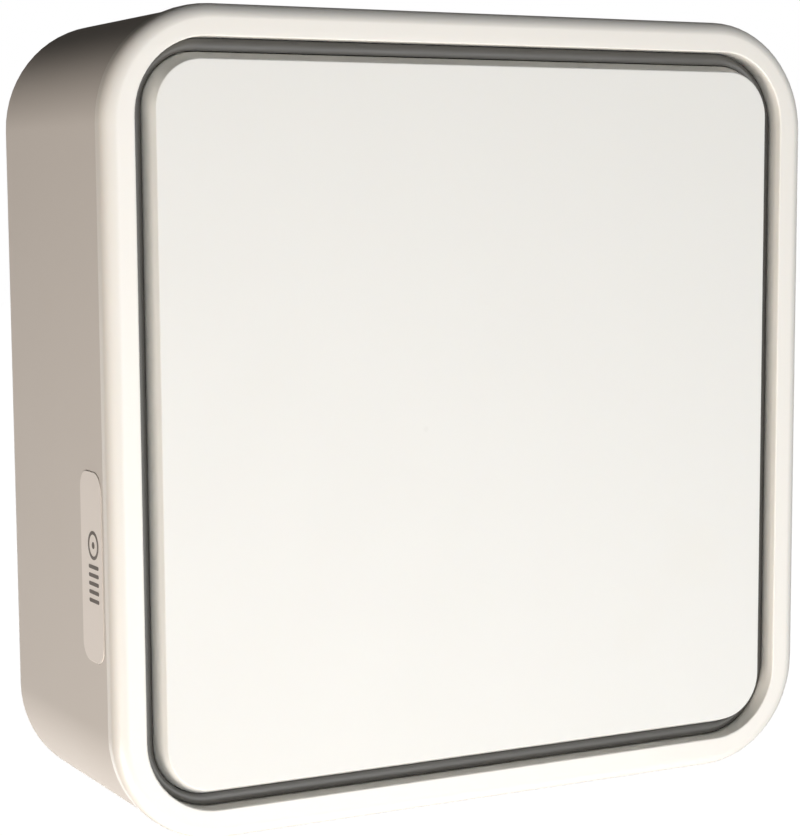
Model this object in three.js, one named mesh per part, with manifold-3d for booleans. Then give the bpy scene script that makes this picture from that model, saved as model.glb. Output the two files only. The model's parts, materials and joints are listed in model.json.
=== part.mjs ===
// Square ceiling access point on its wall and ceiling bracket.
// Millimetres, +Z up. The front faces -Y and the bracket's rear face lies in the plane Y = 0.
// The unit hangs on four shouldered studs by keyholes and slides up off them.

import * as THREE from 'three';
import { mergeVertices } from 'three/addons/utils/BufferGeometryUtils.js';
import Module from 'manifold-3d';

const wasm = await Module();
wasm.setup();

// ---------------------------------------------------------------- driving dimensions

const WIDTH = 200; // outer width and height of the bezel
const DEPTH = 76; // front face to rear rim
const REAR_GAP = 1.5; // rear rim to the wall
const GAP = 0.3; // between pieces that touch
const PAST = 1; // how far a cutter or a joined piece reaches past a face

const BEZEL_RADIUS = 28;
const BEZEL_FILLET = 3.6;
const BEZEL_SIDE = 5.5; // depth of the bezel's visible side band
const STEP_IN = 0.5; // the shell sits this far inside the bezel's outline
const WALL = 2.7;
const REAR_ROUND = 5;

const GROOVE_OUTER = 184.4; // bezel's inner opening
const GROOVE_OUTER_RADIUS = 18.6;
const GROOVE_DEPTH = 4.5;
const PANEL_SIZE = 174.3;
const PANEL_RADIUS = 11.8;
const PANEL_DRAFT = 1.6;
const PANEL_THICKNESS = 3;
const PANEL_BACK = -66;
const PANEL_WALL = 2;
const PANEL_BOSS = { at: 70, radius: 4, back: -56.3 };
const LIGHT_FLANGE = 187.6; // width of the light ring behind the bezel
const LIGHT_FLANGE_RADIUS = 19.9;
const LIGHT_FLANGE_THICKNESS = 1.5;
const LIGHT_BACK = -67.9;
const SKIRT_BACK = -62; // the bezel's skirt reaches this far into the shell

const RIM_OPENING = 182; // opening in the shell's rear, where the bracket goes
const RIM_RADIUS = 18;
const RIM_DEPTH = 7;
const PLATE_THICKNESS = 2.5;

const LIFT = 12; // travel of the unit on its studs
const STUD_X = 50;
const STUD_Z = 45;
const STUD_SHANK = 2.2;
const STUD_HEAD = 4.2;
const STUD_SHOULDER = 3.6;
const KEYHOLE_SLOT = 5.2; // width of its narrow part
const KEYHOLE_ROUND = 4.9; // radius of its wide part

const LABEL_WIDTH = 14;
const LABEL_LENGTH = 46.2;
const LABEL_BEHIND_FRONT = 15;
const LABEL_Z = -32.7;
const LABEL_RADIUS = 4.5;
const LABEL_POCKET = 0.8;

const PRESS_TRAVEL = 1; // reset button

const VENT_WIDTH = 2.6;
const VENT_PITCH = 6;
const UPPER_VENTS = { count: 11, length: 40, z: 30 };
const LOWER_VENTS = { count: 4, length: 24, x: 62, z: -66 };
const CATCH_SLOT = { half: 6, bottom: 67, top: 73 };

// ---------------------------------------------------------------- derived places

const FRONT = -(REAR_GAP + DEPTH);
const BEZEL_BACK = FRONT + BEZEL_SIDE;
const GROOVE_FLOOR = FRONT + GROOVE_DEPTH;
const SHELL_SIZE = WIDTH - 2 * STEP_IN;
const SHELL_RADIUS = BEZEL_RADIUS - STEP_IN;
const CAVITY_SIZE = SHELL_SIZE - 2 * WALL;
const CAVITY_RADIUS = SHELL_RADIUS - WALL;
const SHELL_BACK = -REAR_GAP;
const RIM_FRONT = SHELL_BACK - RIM_DEPTH;
const PLATE_BACK = RIM_FRONT - GAP;
const PLATE_FRONT = PLATE_BACK - PLATE_THICKNESS;

const QUARTERS = [[-1, 1], [1, 1], [-1, -1], [1, -1]]; // the signs of X and Z in each corner

const BOARD_BACK = -32.4;
const BOARD_THICKNESS = 1.6;
const BOARD_FRONT = BOARD_BACK - BOARD_THICKNESS;
const BOARD_BOTTOM = -34.5;
const BOARD_TOP = 80;
const BOARD_HALF = 80;
const ON_REAR = BOARD_BACK + GAP; // parts on the board's rear side start here
const ON_FRONT = BOARD_FRONT - GAP; // parts on its front side start here
const POST_X = 72;
const POSTS = [[-POST_X, 72], [POST_X, 72], [-POST_X, -26], [POST_X, -26]];

const BAY = { left: -31, right: 31, bottom: -82, top: -38, front: -36, wall: 2 };
const JACKS = [-12, 12];
const JACK = { width: 16, height: 13.5, length: 21 };
const RESET = { x: 26, y: -29.5, radius: 1.6 };

const BOSS_X = 85;
const BOSS_Z = 55;
const BOSSES = [[-BOSS_X, -BOSS_Z], [-BOSS_X, BOSS_Z], [BOSS_X, -BOSS_Z], [BOSS_X, BOSS_Z]];
const BOSS = { radius: 4, front: -42, rib: 2.4, pilot: 1.8, pilotDepth: 12 };
const POST = { radius: 3.5, hole: 1.5, holeDepth: 9 };
const SCREW_HOLE = 1.9; // clearance radius for the housing screws and the rivet
const BOARD_HOLE = 1.6;

const SINK = { half: 32, bottom: 4, top: 56, base: 3, height: 14, fins: 11, fin: 1.6 };
const REFLECTOR_BACK = -46;
const CARRIER_BACK = -54;
const CARRIER_THICKNESS = 2;
const CARRIER_SIZE = 168;
const CARRIER_RADIUS = 12;
const CARRIER_RIM_FRONT = -63.8;
const CARRIER_OPENING = 164; // inside of the carrier's rim and of the light board
const CARRIER_OPENING_RADIUS = 10;
const REFLECTOR = { size: 156, radius: 10, thickness: 1.2, hole: 3 };
const REFLECTOR_FRONT = REFLECTOR_BACK - REFLECTOR.thickness;
const ANTENNA_AT = 50;
const ANTENNA = { width: 26, height: 22, thickness: 0.8, lift: 5, leg: 12 };
const CAN = { width: 42, height: 36, depth: 4, wall: 0.4, at: 35, z: 40 };
const CONNECTOR = { radius: 1.4, length: 2.6 };
const LIGHT_BOARD = { size: 187, radius: 20, front: -65.3, back: -64.1 };
const LED = { size: 3.2, height: 1.6, at: 90.7 };

// ---------------------------------------------------------------- materials

const FINISH = {
  whitePlastic: { color: 0xf4f2ea, roughness: 0.45, metalness: 0 },
  shellPlastic: { color: 0xd9d2c8, roughness: 0.6, metalness: 0 },
  plaquePlastic: { color: 0xe2dcd3, roughness: 0.5, metalness: 0 },
  smokeDiffuser: { color: 0x5e5f58, roughness: 0.35, metalness: 0 },
  carrierPlastic: { color: 0xc9c8c2, roughness: 0.6, metalness: 0 },
  boardGreen: { color: 0x1f5a3a, roughness: 0.5, metalness: 0.05 },
  boardWhite: { color: 0xe9ebe6, roughness: 0.5, metalness: 0 },
  chipBlack: { color: 0x1c1c1e, roughness: 0.45, metalness: 0 },
  thermalPad: { color: 0x8fa3b0, roughness: 0.8, metalness: 0 },
  aluminium: { color: 0xb9bcbf, roughness: 0.4, metalness: 1 },
  tinnedSteel: { color: 0xc4c5c2, roughness: 0.3, metalness: 1 },
  zincSteel: { color: 0xb4b6b5, roughness: 0.4, metalness: 1 },
  springSteel: { color: 0xa9aaac, roughness: 0.25, metalness: 1 },
  ledLens: { color: 0xf7f4e4, roughness: 0.3, metalness: 0 },
  leadBlack: { color: 0x151516, roughness: 0.5, metalness: 0 },
  brass: { color: 0xc8a25a, roughness: 0.3, metalness: 1 },
  resetGrey: { color: 0x6d6f70, roughness: 0.5, metalness: 0 },
};

// ---------------------------------------------------------------- solids

function solid(geometry) {
  const bare = geometry.clone();
  bare.deleteAttribute('normal');
  bare.deleteAttribute('uv');
  const merged = mergeVertices(bare, 1e-3);
  return new wasm.Manifold(
    new wasm.Mesh({
      numProp: 3,
      vertProperties: new Float32Array(merged.attributes.position.array),
      triVerts: new Uint32Array(merged.index.array),
    }),
  );
}

function geometryOf(manifold) {
  const mesh = manifold.getMesh();
  const geometry = new THREE.BufferGeometry();
  geometry.setAttribute('position', new THREE.BufferAttribute(mesh.vertProperties, 3));
  geometry.setIndex(new THREE.BufferAttribute(mesh.triVerts, 1));
  return geometry;
}

function join(...geometries) {
  const solids = geometries.map(solid);
  return geometryOf(solids.reduce((all, next) => all.add(next)));
}

function cut(geometry, ...tools) {
  const body = solid(geometry);
  return geometryOf(tools.map(solid).reduce((left, tool) => left.subtract(tool), body));
}

// ---------------------------------------------------------------- outlines in the XZ plane

function roundedRectangle(width, height, radius, x = 0, z = 0) {
  const right = x + width / 2;
  const left = x - width / 2;
  const top = z + height / 2;
  const bottom = z - height / 2;
  const shape = new THREE.Shape();
  shape.moveTo(left + radius, bottom);
  shape.lineTo(right - radius, bottom);
  shape.absarc(right - radius, bottom + radius, radius, -Math.PI / 2, 0);
  shape.lineTo(right, top - radius);
  shape.absarc(right - radius, top - radius, radius, 0, Math.PI / 2);
  shape.lineTo(left + radius, top);
  shape.absarc(left + radius, top - radius, radius, Math.PI / 2, Math.PI);
  shape.lineTo(left, bottom + radius);
  shape.absarc(left + radius, bottom + radius, radius, Math.PI, Math.PI * 1.5);
  return shape;
}

function capsule(width, height, x, z) {
  return roundedRectangle(width, height, Math.min(width, height) / 2 - 0.01, x, z);
}

// Extrudes an outline from one Y to another. A bevel rounds both ends and keeps the outline's size.
function slab(outline, front, back, { bevel = 0, bevelDepth = bevel, steps = 3, curve = 5 } = {}) {
  const geometry = new THREE.ExtrudeGeometry(outline, {
    depth: back - front - 2 * bevelDepth,
    curveSegments: curve,
    bevelEnabled: bevel > 0,
    bevelSize: bevel,
    bevelOffset: -bevel,
    bevelThickness: bevelDepth,
    bevelSegments: steps,
  });
  geometry.rotateX(Math.PI / 2);
  geometry.translate(0, back - bevelDepth, 0);
  return geometry;
}

function square(size, radius) {
  return roundedRectangle(size, size, radius);
}

function ring(outer, outerRadius, inner, innerRadius, front, back) {
  return cut(
    slab(square(outer, outerRadius), front, back),
    slab(square(inner, innerRadius), front - PAST, back + PAST),
  );
}

function block(x0, x1, y0, y1, z0, z1) {
  const geometry = new THREE.BoxGeometry(x1 - x0, y1 - y0, z1 - z0);
  geometry.translate((x0 + x1) / 2, (y0 + y1) / 2, (z0 + z1) / 2);
  return geometry;
}

// A round rod along Y.
function rod(radius, x, z, front, back, sides = 12) {
  const geometry = new THREE.CylinderGeometry(radius, radius, back - front, sides);
  geometry.translate(x, (front + back) / 2, z);
  return geometry;
}

// A turned piece on an axis along Y: pairs of radius and Y, closed onto the axis.
function turned(profile, x, z, sides = 12) {
  const points = profile.map(([radius, y]) => new THREE.Vector2(radius, y));
  const geometry = new THREE.LatheGeometry(points, sides);
  geometry.translate(x, 0, z);
  return geometry;
}

// ---------------------------------------------------------------- scene graph

const accessPoint = new THREE.Group();
const bracketGroup = new THREE.Group();
const unitGroup = new THREE.Group();
accessPoint.add(bracketGroup, unitGroup);

function place(group, name, geometry, finish) {
  const mesh = new THREE.Mesh(geometry, new THREE.MeshStandardMaterial(FINISH[finish]));
  mesh.name = name;
  group.add(mesh);
  return mesh;
}

// ---------------------------------------------------------------- bezel, panel and light ring

const SKIRT_OUTER = CAVITY_SIZE - 2 * GAP;
const SKIRT_RADIUS = CAVITY_RADIUS - GAP;

function frontBezel() {
  const rounded = slab(square(WIDTH, BEZEL_RADIUS), FRONT, FRONT + 4 * BEZEL_SIDE, {
    bevel: BEZEL_FILLET,
    steps: 4,
  });
  const face = cut(rounded, block(-WIDTH, WIDTH, BEZEL_BACK, 0, -WIDTH, WIDTH));
  const skirt = slab(square(SKIRT_OUTER, SKIRT_RADIUS), BEZEL_BACK - PAST, SKIRT_BACK);
  const ledge = LIGHT_BACK - LIGHT_FLANGE_THICKNESS - GAP;
  return cut(
    join(face, skirt),
    slab(square(GROOVE_OUTER, GROOVE_OUTER_RADIUS), FRONT - PAST, 0),
    slab(square(LIGHT_FLANGE + 2 * GAP, LIGHT_FLANGE_RADIUS + GAP), ledge, 0),
  );
}

function lightRing() {
  const inner = PANEL_SIZE + 2 * PANEL_DRAFT + 2 * GAP;
  const innerRadius = PANEL_RADIUS + PANEL_DRAFT + GAP;
  const face = slab(
    square(GROOVE_OUTER - 2 * GAP, GROOVE_OUTER_RADIUS - GAP), GROOVE_FLOOR, LIGHT_BACK);
  const flange = slab(
    square(LIGHT_FLANGE, LIGHT_FLANGE_RADIUS), LIGHT_BACK - LIGHT_FLANGE_THICKNESS, LIGHT_BACK);
  const hollow = slab(square(inner, innerRadius), GROOVE_FLOOR - PAST, LIGHT_BACK + PAST);
  return cut(join(face, flange), hollow);
}

function centrePanel() {
  const size = PANEL_SIZE + 2 * PANEL_DRAFT;
  const radius = PANEL_RADIUS + PANEL_DRAFT;
  const drafted = slab(square(size, radius), FRONT, FRONT + 4 * GROOVE_DEPTH, {
    bevel: PANEL_DRAFT,
    bevelDepth: GROOVE_DEPTH,
    steps: 1,
  });
  const front = cut(drafted, block(-WIDTH, WIDTH, PANEL_BACK, 0, -WIDTH, WIDTH));
  const hollow = slab(
    square(size - 2 * PANEL_WALL, radius - PANEL_WALL), FRONT + PANEL_THICKNESS, 0);
  const bosses = QUARTERS.map(([sx, sz]) => rod(
    PANEL_BOSS.radius, sx * PANEL_BOSS.at, sz * PANEL_BOSS.at,
    FRONT + PANEL_THICKNESS - PAST, PANEL_BOSS.back));
  return join(cut(front, hollow), ...bosses);
}

place(unitGroup, 'front_bezel', frontBezel(), 'whitePlastic');
place(unitGroup, 'centre_panel', centrePanel(), 'whitePlastic');
place(unitGroup, 'light_ring', lightRing(), 'smokeDiffuser');

// ---------------------------------------------------------------- shell, plaque and back plate

// The plaque's outline, or its pocket's when it is given extra width.
function labelOutline(extra) {
  return roundedRectangle(LABEL_WIDTH + extra, LABEL_LENGTH + extra, LABEL_RADIUS + extra / 2);
}

// The plaque's outline turned to lie in the left wall, between two X places.
function plaqueSolid(extra, outside, inside) {
  const geometry = slab(labelOutline(extra), 0, inside - outside, { curve: 6 });
  geometry.rotateZ(-Math.PI / 2);
  geometry.translate(outside, FRONT + LABEL_BEHIND_FRONT, LABEL_Z);
  return geometry;
}

function housingShell() {
  const outer = slab(square(SHELL_SIZE, SHELL_RADIUS), -4 * DEPTH, SHELL_BACK, {
    bevel: REAR_ROUND,
    steps: 4,
  });
  const shell = cut(
    outer,
    block(-WIDTH, WIDTH, -5 * DEPTH, BEZEL_BACK + GAP, -WIDTH, WIDTH),
    slab(square(CAVITY_SIZE, CAVITY_RADIUS), -2 * DEPTH, RIM_FRONT),
    slab(square(RIM_OPENING, RIM_RADIUS), RIM_FRONT - PAST, 10 * PAST),
    plaqueSolid(2 * GAP, -SHELL_SIZE / 2 - 5 * PAST, -SHELL_SIZE / 2 + LABEL_POCKET),
  );
  const bossBack = PLATE_FRONT - GAP;
  const bosses = BOSSES.flatMap(([x, z]) => {
    const outside = Math.sign(x) * (CAVITY_SIZE / 2 + PAST);
    const inside = x + (Math.sign(x) * BOSS.radius) / 2;
    return [
      rod(BOSS.radius, x, z, BOSS.front, bossBack),
      block(Math.min(inside, outside), Math.max(inside, outside), BOSS.front, bossBack,
        z - BOSS.rib / 2, z + BOSS.rib / 2),
    ];
  });
  const pilots = BOSSES.map(([x, z]) => rod(BOSS.pilot, x, z, bossBack - BOSS.pilotDepth, 0));
  return cut(join(shell, ...bosses), ...pilots);
}

function sideLabel() {
  return plaqueSolid(0, -SHELL_SIZE / 2, -SHELL_SIZE / 2 + LABEL_POCKET - GAP);
}

// A cutter through the back plate.
function throughPlate(outline, curve = 1) {
  return slab(outline, PLATE_FRONT - PAST, PLATE_BACK + PAST, { curve });
}

function keyhole(x, z) {
  const length = LIFT + KEYHOLE_SLOT;
  return join(
    throughPlate(capsule(KEYHOLE_SLOT, length, x, z - LIFT / 2), 2),
    rod(KEYHOLE_ROUND, x, z - LIFT, PLATE_FRONT - PAST, PLATE_BACK + PAST),
  );
}

function backPlate() {
  const size = CAVITY_SIZE - 2 * GAP;
  const plate = slab(square(size, CAVITY_RADIUS - GAP), PLATE_FRONT, PLATE_BACK);
  const { left, right, bottom, top, front, wall } = BAY;
  const inPlate = PLATE_FRONT + 0.5;
  const bayBox = block(
    left - wall, right + wall, front - wall, inPlate, bottom - wall, top + wall);
  const posts = POSTS.map(([x, z]) => rod(POST.radius, x, z, ON_REAR, inPlate));
  const upperVents = Array.from({ length: UPPER_VENTS.count }, (_, i) => {
    const x = (i - (UPPER_VENTS.count - 1) / 2) * VENT_PITCH;
    return throughPlate(capsule(VENT_WIDTH, UPPER_VENTS.length, x, UPPER_VENTS.z));
  });
  const lowerVents = [-1, 1].flatMap((side) =>
    Array.from({ length: LOWER_VENTS.count }, (_, i) => {
      const x = side * (LOWER_VENTS.x + i * VENT_PITCH);
      return throughPlate(capsule(VENT_WIDTH, LOWER_VENTS.length, x, LOWER_VENTS.z));
    }));
  const keyholes = QUARTERS.map(([sx, sz]) => keyhole(sx * STUD_X, sz * STUD_Z));
  const jackWindows = JACKS.map((x) =>
    block(x - JACK.width / 2 - GAP, x + JACK.width / 2 + GAP,
      ON_REAR - GAP, ON_REAR + JACK.height + GAP, top - PAST, top + wall + PAST));
  const resetHole = new THREE.CylinderGeometry(
    RESET.radius + GAP, RESET.radius + GAP, wall + 4 * PAST, 16);
  resetHole.rotateX(Math.PI / 2);
  resetHole.translate(RESET.x, RESET.y, top + wall / 2);
  return cut(
    join(plate, bayBox, ...posts),
    block(left, right, front, 0, bottom, top),
    ...upperVents,
    ...lowerVents,
    ...keyholes,
    ...jackWindows,
    resetHole,
    block(-CATCH_SLOT.half, CATCH_SLOT.half, PLATE_FRONT - PAST, PLATE_BACK + PAST,
      CATCH_SLOT.bottom, CATCH_SLOT.top),
    ...BOSSES.map(([x, z]) => rod(SCREW_HOLE, x, z, PLATE_FRONT - PAST, PLATE_BACK + PAST)),
    ...POSTS.map(([x, z]) => rod(POST.hole, x, z, ON_REAR - PAST, ON_REAR + POST.holeDepth)),
  );
}

place(unitGroup, 'housing_shell', housingShell(), 'shellPlastic');
place(unitGroup, 'side_label', sideLabel(), 'plaquePlastic');
place(unitGroup, 'back_plate', backPlate(), 'shellPlastic');

// ---------------------------------------------------------------- screws

// A pan-head screw whose head points to +Y when out is 1 and to -Y when it is -1.
function screw(x, z, seat, out, { head = 3.1, shank = 1.5, length = 10 } = {}) {
  return turned(
    out > 0
      ? [[0, seat - length], [shank, seat - length + 0.6], [shank, seat], [head, seat],
        [head, seat + 1.3], [head * 0.7, seat + 2], [0, seat + 2]]
      : [[0, seat - 2], [head * 0.7, seat - 2], [head, seat - 1.3], [head, seat],
        [shank, seat], [shank, seat + length - 0.6], [0, seat + length]],
    x, z);
}

BOSSES.forEach(([x, z], i) => {
  place(unitGroup, `housing_screw_${i + 1}`, screw(x, z, PLATE_BACK + GAP, 1), 'zincSteel');
});
POSTS.forEach(([x, z], i) => {
  const geometry = screw(x, z, ON_FRONT, -1, { head: 2.6, shank: 1.2, length: 8 });
  place(unitGroup, `board_screw_${i + 1}`, geometry, 'zincSteel');
});

// ---------------------------------------------------------------- main board and its parts

function mainBoard() {
  const height = BOARD_TOP - BOARD_BOTTOM;
  const outline = roundedRectangle(2 * BOARD_HALF, height, 3, 0, (BOARD_TOP + BOARD_BOTTOM) / 2);
  return cut(
    slab(outline, BOARD_FRONT, BOARD_BACK, { curve: 3 }),
    ...POSTS.map(([x, z]) => rod(BOARD_HOLE, x, z, BOARD_FRONT - PAST, BOARD_BACK + PAST)),
  );
}

function chip(x, z, width, height, thickness) {
  return slab(roundedRectangle(width, height, 0.6, x, z), ON_REAR, ON_REAR + thickness, { curve: 2 });
}

function shieldCan(x, z) {
  const { width, height, depth, wall } = CAN;
  const radius = 1.5;
  const outer = roundedRectangle(width, height, radius, x, z);
  const inner = roundedRectangle(width - 2 * wall, height - 2 * wall, radius - wall, x, z);
  return cut(
    slab(outer, ON_FRONT - depth, ON_FRONT, { curve: 3 }),
    slab(inner, ON_FRONT - depth + wall, ON_FRONT + PAST, { curve: 3 }),
  );
}

function capacitor(x, z) {
  const back = ON_REAR + 10;
  return turned([[0, ON_REAR], [4, ON_REAR], [4, back - 1.6], [3.7, back - 1.3], [4, back - 1],
    [3.8, back], [0, back]], x, z);
}

function inductor(x, z) {
  return cut(
    slab(roundedRectangle(10, 10, 1.2, x, z), ON_REAR, ON_REAR + 5, { bevel: 0.4, steps: 1, curve: 2 }),
    rod(2.6, x, z, ON_REAR + 4.2, ON_REAR + 6),
  );
}

const SINK_Z = (SINK.bottom + SINK.top) / 2;
const PROCESSOR_THICKNESS = 2;
const PAD_THICKNESS = 1;
const PAD_FRONT = ON_REAR + PROCESSOR_THICKNESS + GAP;

function thermalPad() {
  return slab(
    roundedRectangle(20, 20, 1, 0, SINK_Z), PAD_FRONT, PAD_FRONT + PAD_THICKNESS, { curve: 2 });
}

function heatSink() {
  const start = PAD_FRONT + PAD_THICKNESS + GAP;
  const { half, bottom, top, base, height, fins, fin } = SINK;
  const pitch = (2 * half - fin) / (fins - 1);
  const blades = Array.from({ length: fins }, (_, i) => {
    const x = -half + i * pitch;
    return block(x, x + fin, start + base - 0.5, start + height, bottom, top);
  });
  return join(block(-half, half, start, start + base, bottom, top), ...blades);
}

function jack(x) {
  const { width, height, length } = JACK;
  const low = BAY.top;
  const middle = ON_REAR + height / 2;
  const deep = low + 14;
  const plug = 5.9; // half widths of the plug's and its tab's openings
  const tab = 3.1;
  return cut(
    block(x - width / 2, x + width / 2, ON_REAR, ON_REAR + height, low, low + length),
    block(x - plug, x + plug, middle - 3.4, middle + 3.4, low - PAST, deep),
    block(x - tab, x + tab, middle + 3, middle + 5.2, low - PAST, deep),
  );
}

place(unitGroup, 'main_board', mainBoard(), 'boardGreen');
// Name, X, Z, width, height and thickness of each flat part on the board's rear.
const CHIPS = [
  ['processor', 0, SINK_Z, 19, 19, PROCESSOR_THICKNESS],
  ['memory_chip', -46, 20, 13, 9, 1.1],
  ['power_controller', 46, -8, 7, 7, 1],
  ['ethernet_magnetics', 0, -9, 30, 12, 6],
];
CHIPS.forEach(([name, ...sizes]) => place(unitGroup, name, chip(...sizes), 'chipBlack'));
place(unitGroup, 'thermal_pad', thermalPad(), 'thermalPad');
place(unitGroup, 'heat_sink', heatSink(), 'aluminium');
place(unitGroup, 'power_inductor', inductor(60, -8), 'chipBlack');
[[58, 8], [58, 20]].forEach(([x, z], i) => {
  place(unitGroup, `capacitor_${i + 1}`, capacitor(x, z), 'aluminium');
});
JACKS.forEach((x, i) => place(unitGroup, `ethernet_jack_${i + 1}`, jack(x), 'tinnedSteel'));
[-CAN.at, CAN.at].forEach((x, i) => {
  place(unitGroup, `shield_can_${i + 1}`, shieldCan(x, CAN.z), 'tinnedSteel');
  const radio = roundedRectangle(12, 12, 0.6, x, CAN.z);
  place(unitGroup, `radio_chip_${i + 1}`,
    slab(radio, ON_FRONT - 1.2, ON_FRONT, { curve: 2 }), 'chipBlack');
});

const SWITCH = { half: 3, height: 4.4, bottom: -33.2, top: -27 };
place(unitGroup, 'reset_switch', block(
  RESET.x - SWITCH.half, RESET.x + SWITCH.half, ON_REAR, ON_REAR + SWITCH.height,
  SWITCH.bottom, SWITCH.top), 'tinnedSteel');

// ---------------------------------------------------------------- reset button

const bayWallTop = BAY.top + BAY.wall;
const buttonTop = SWITCH.bottom - GAP - PRESS_TRAVEL;
const buttonEnd = BAY.top - 0.9;
const buttonCollar = 2.5;
const buttonProfile = [
  [0, buttonEnd], [RESET.radius - 0.3, buttonEnd], [RESET.radius, buttonEnd + 0.4],
  [RESET.radius, bayWallTop + GAP], [buttonCollar, bayWallTop + GAP], [buttonCollar, buttonTop],
  [0, buttonTop]];
const button = turned(buttonProfile, 0, 0);
button.rotateX(Math.PI / 2);
button.translate(RESET.x, RESET.y, 0);
place(unitGroup, 'reset_button', button, 'resetGrey');

// ---------------------------------------------------------------- antennas, reflector and lights

const LEAD_HOLE_AT = 34;
const LEG_AT = 60;

function reflectorPlate() {
  const { size, radius, hole } = REFLECTOR;
  return cut(
    slab(square(size, radius), REFLECTOR_FRONT, REFLECTOR_BACK, { curve: 4 }),
    ...QUARTERS.map(([sx, sz]) => rod(
      hole, sx * LEAD_HOLE_AT, sz * LEAD_HOLE_AT, REFLECTOR_FRONT - PAST, REFLECTOR_BACK + PAST)),
  );
}

function antennaCarrier() {
  const front = CARRIER_BACK - CARRIER_THICKNESS;
  const plate = slab(square(CARRIER_SIZE, CARRIER_RADIUS), front, CARRIER_BACK);
  const rim = ring(
    CARRIER_SIZE, CARRIER_RADIUS, CARRIER_OPENING, CARRIER_OPENING_RADIUS,
    CARRIER_RIM_FRONT, front + 0.5);
  const legs = QUARTERS.map(([sx, sz]) =>
    rod(3, sx * LEG_AT, sz * LEG_AT, CARRIER_BACK - 0.5, REFLECTOR_FRONT - GAP));
  return cut(
    join(plate, rim, ...legs),
    ...QUARTERS.map(([sx, sz]) =>
      rod(2.4, sx * LEAD_HOLE_AT, sz * LEAD_HOLE_AT, front - PAST, CARRIER_BACK + PAST)),
    slab(capsule(8, 60, 0, 0), front - PAST, CARRIER_BACK + PAST),
  );
}

function antenna([sx, sz]) {
  const x = sx * ANTENNA_AT;
  const z = sz * ANTENNA_AT;
  const foot = CARRIER_BACK - CARRIER_THICKNESS - GAP;
  const { width, height, thickness, lift, leg } = ANTENNA;
  const top = foot - lift;
  const plate = slab(roundedRectangle(width, height, 2, x, z), top - thickness, top, { curve: 2 });
  const slotOutline = roundedRectangle(3, 16, 0.5, x + sx * 4, z + sz * 4);
  const slot = slab(slotOutline, top - 2 * PAST, top + PAST, { curve: 2 });
  const half = thickness / 2;
  const legX = x - sx * leg;
  const legs = [z - 8, z + 4].map((low) =>
    block(legX - half, legX + half, top - half, foot, low, low + 4));
  return join(cut(plate, slot), ...legs);
}

function lightBoard() {
  const { size, radius, front, back } = LIGHT_BOARD;
  return ring(size, radius, CARRIER_OPENING, CARRIER_OPENING_RADIUS, front, back);
}

function ledLens(x, z) {
  const back = LIGHT_BOARD.front - GAP;
  const outline = roundedRectangle(LED.size, LED.size, 0.5, x, z);
  return slab(outline, back - LED.height, back, { bevel: 0.3, steps: 1, curve: 2 });
}

place(unitGroup, 'reflector_plate', reflectorPlate(), 'aluminium');
place(unitGroup, 'antenna_carrier', antennaCarrier(), 'carrierPlastic');
place(unitGroup, 'light_board', lightBoard(), 'boardWhite');
[[0, LED.at], [LED.at, 0], [0, -LED.at], [-LED.at, 0]].forEach(([x, z], i) => {
  place(unitGroup, `led_${i + 1}`, ledLens(x, z), 'ledLens');
});

const LEAD_RADIUS = 0.65;
const LEAD_OVER_CANS = -41;
const leadSection = new THREE.Shape();
leadSection.absarc(0, 0, LEAD_RADIUS, 0, Math.PI * 2);

// Where each aerial lead lands on the board's front, beside the shield cans.
const leadEnds = [[-62, 24], [62, 24], [-40, -24], [40, -24]];

function aerialLead([sx, sz], [endX, endZ]) {
  const holeX = sx * LEAD_HOLE_AT;
  const holeZ = sz * LEAD_HOLE_AT;
  const points = [
    new THREE.Vector3(sx * 38, -57.3, sz * 41.2),
    new THREE.Vector3(sx * 35.5, -57.5, sz * 37),
    new THREE.Vector3(holeX, -54.5, holeZ),
    new THREE.Vector3(holeX, -45.5, holeZ),
    new THREE.Vector3((2 * holeX + endX) / 3, LEAD_OVER_CANS, (2 * holeZ + endZ) / 3),
    new THREE.Vector3((holeX + 3 * endX) / 4, LEAD_OVER_CANS, (holeZ + 3 * endZ) / 4),
    new THREE.Vector3(endX, LEAD_OVER_CANS + 2, endZ),
    new THREE.Vector3(endX, ON_FRONT - CONNECTOR.length - GAP, endZ),
  ];
  return new THREE.ExtrudeGeometry(leadSection, {
    steps: 26,
    curveSegments: 4,
    extrudePath: new THREE.CatmullRomCurve3(points),
  });
}

function leadConnector([x, z]) {
  return rod(CONNECTOR.radius, x, z, ON_FRONT - CONNECTOR.length, ON_FRONT);
}

QUARTERS.forEach((side, i) => {
  place(unitGroup, `antenna_${i + 1}`, antenna(side), 'brass');
  place(unitGroup, `antenna_lead_${i + 1}`, aerialLead(side, leadEnds[i]), 'leadBlack');
  place(unitGroup, `lead_connector_${i + 1}`, leadConnector(leadEnds[i]), 'brass');
});

// ---------------------------------------------------------------- bracket

const BRACKET_SIZE = 130;
const BRACKET_RADIUS = 12;
const TONGUE = { width: 20, height: 24, radius: 4 }; // carries the catch at the bracket's top
const BRACKET_THICKNESS = 2;
const bracketFront = -BRACKET_THICKNESS;
const BOLTS = { radius: 2.2, x: 50, z: 18 }; // four holes for a ceiling box or rail clips
const WALL_SLOTS = { width: 4.6, length: 14, x: 32 };
const WINDOWS = { width: 60, radius: 6 };
const LOWER_WINDOW = { height: 36, z: -38 };
const UPPER_WINDOW = { height: 24, z: 32 };
const RIVET_Z = 55;
const LEAF_WIDTH = 8;
const LEAF_THICKNESS = 0.6;
const leafFoot = bracketFront - GAP - LEAF_THICKNESS / 2;
const CATCH_LINE = [[leafFoot, 49], [leafFoot, 59.5], [-7.4, 67.2], [-10.3, 69], [-10.3, 70.2],
  [-7.4, 72], [-5.6, 76.5]];

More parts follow.
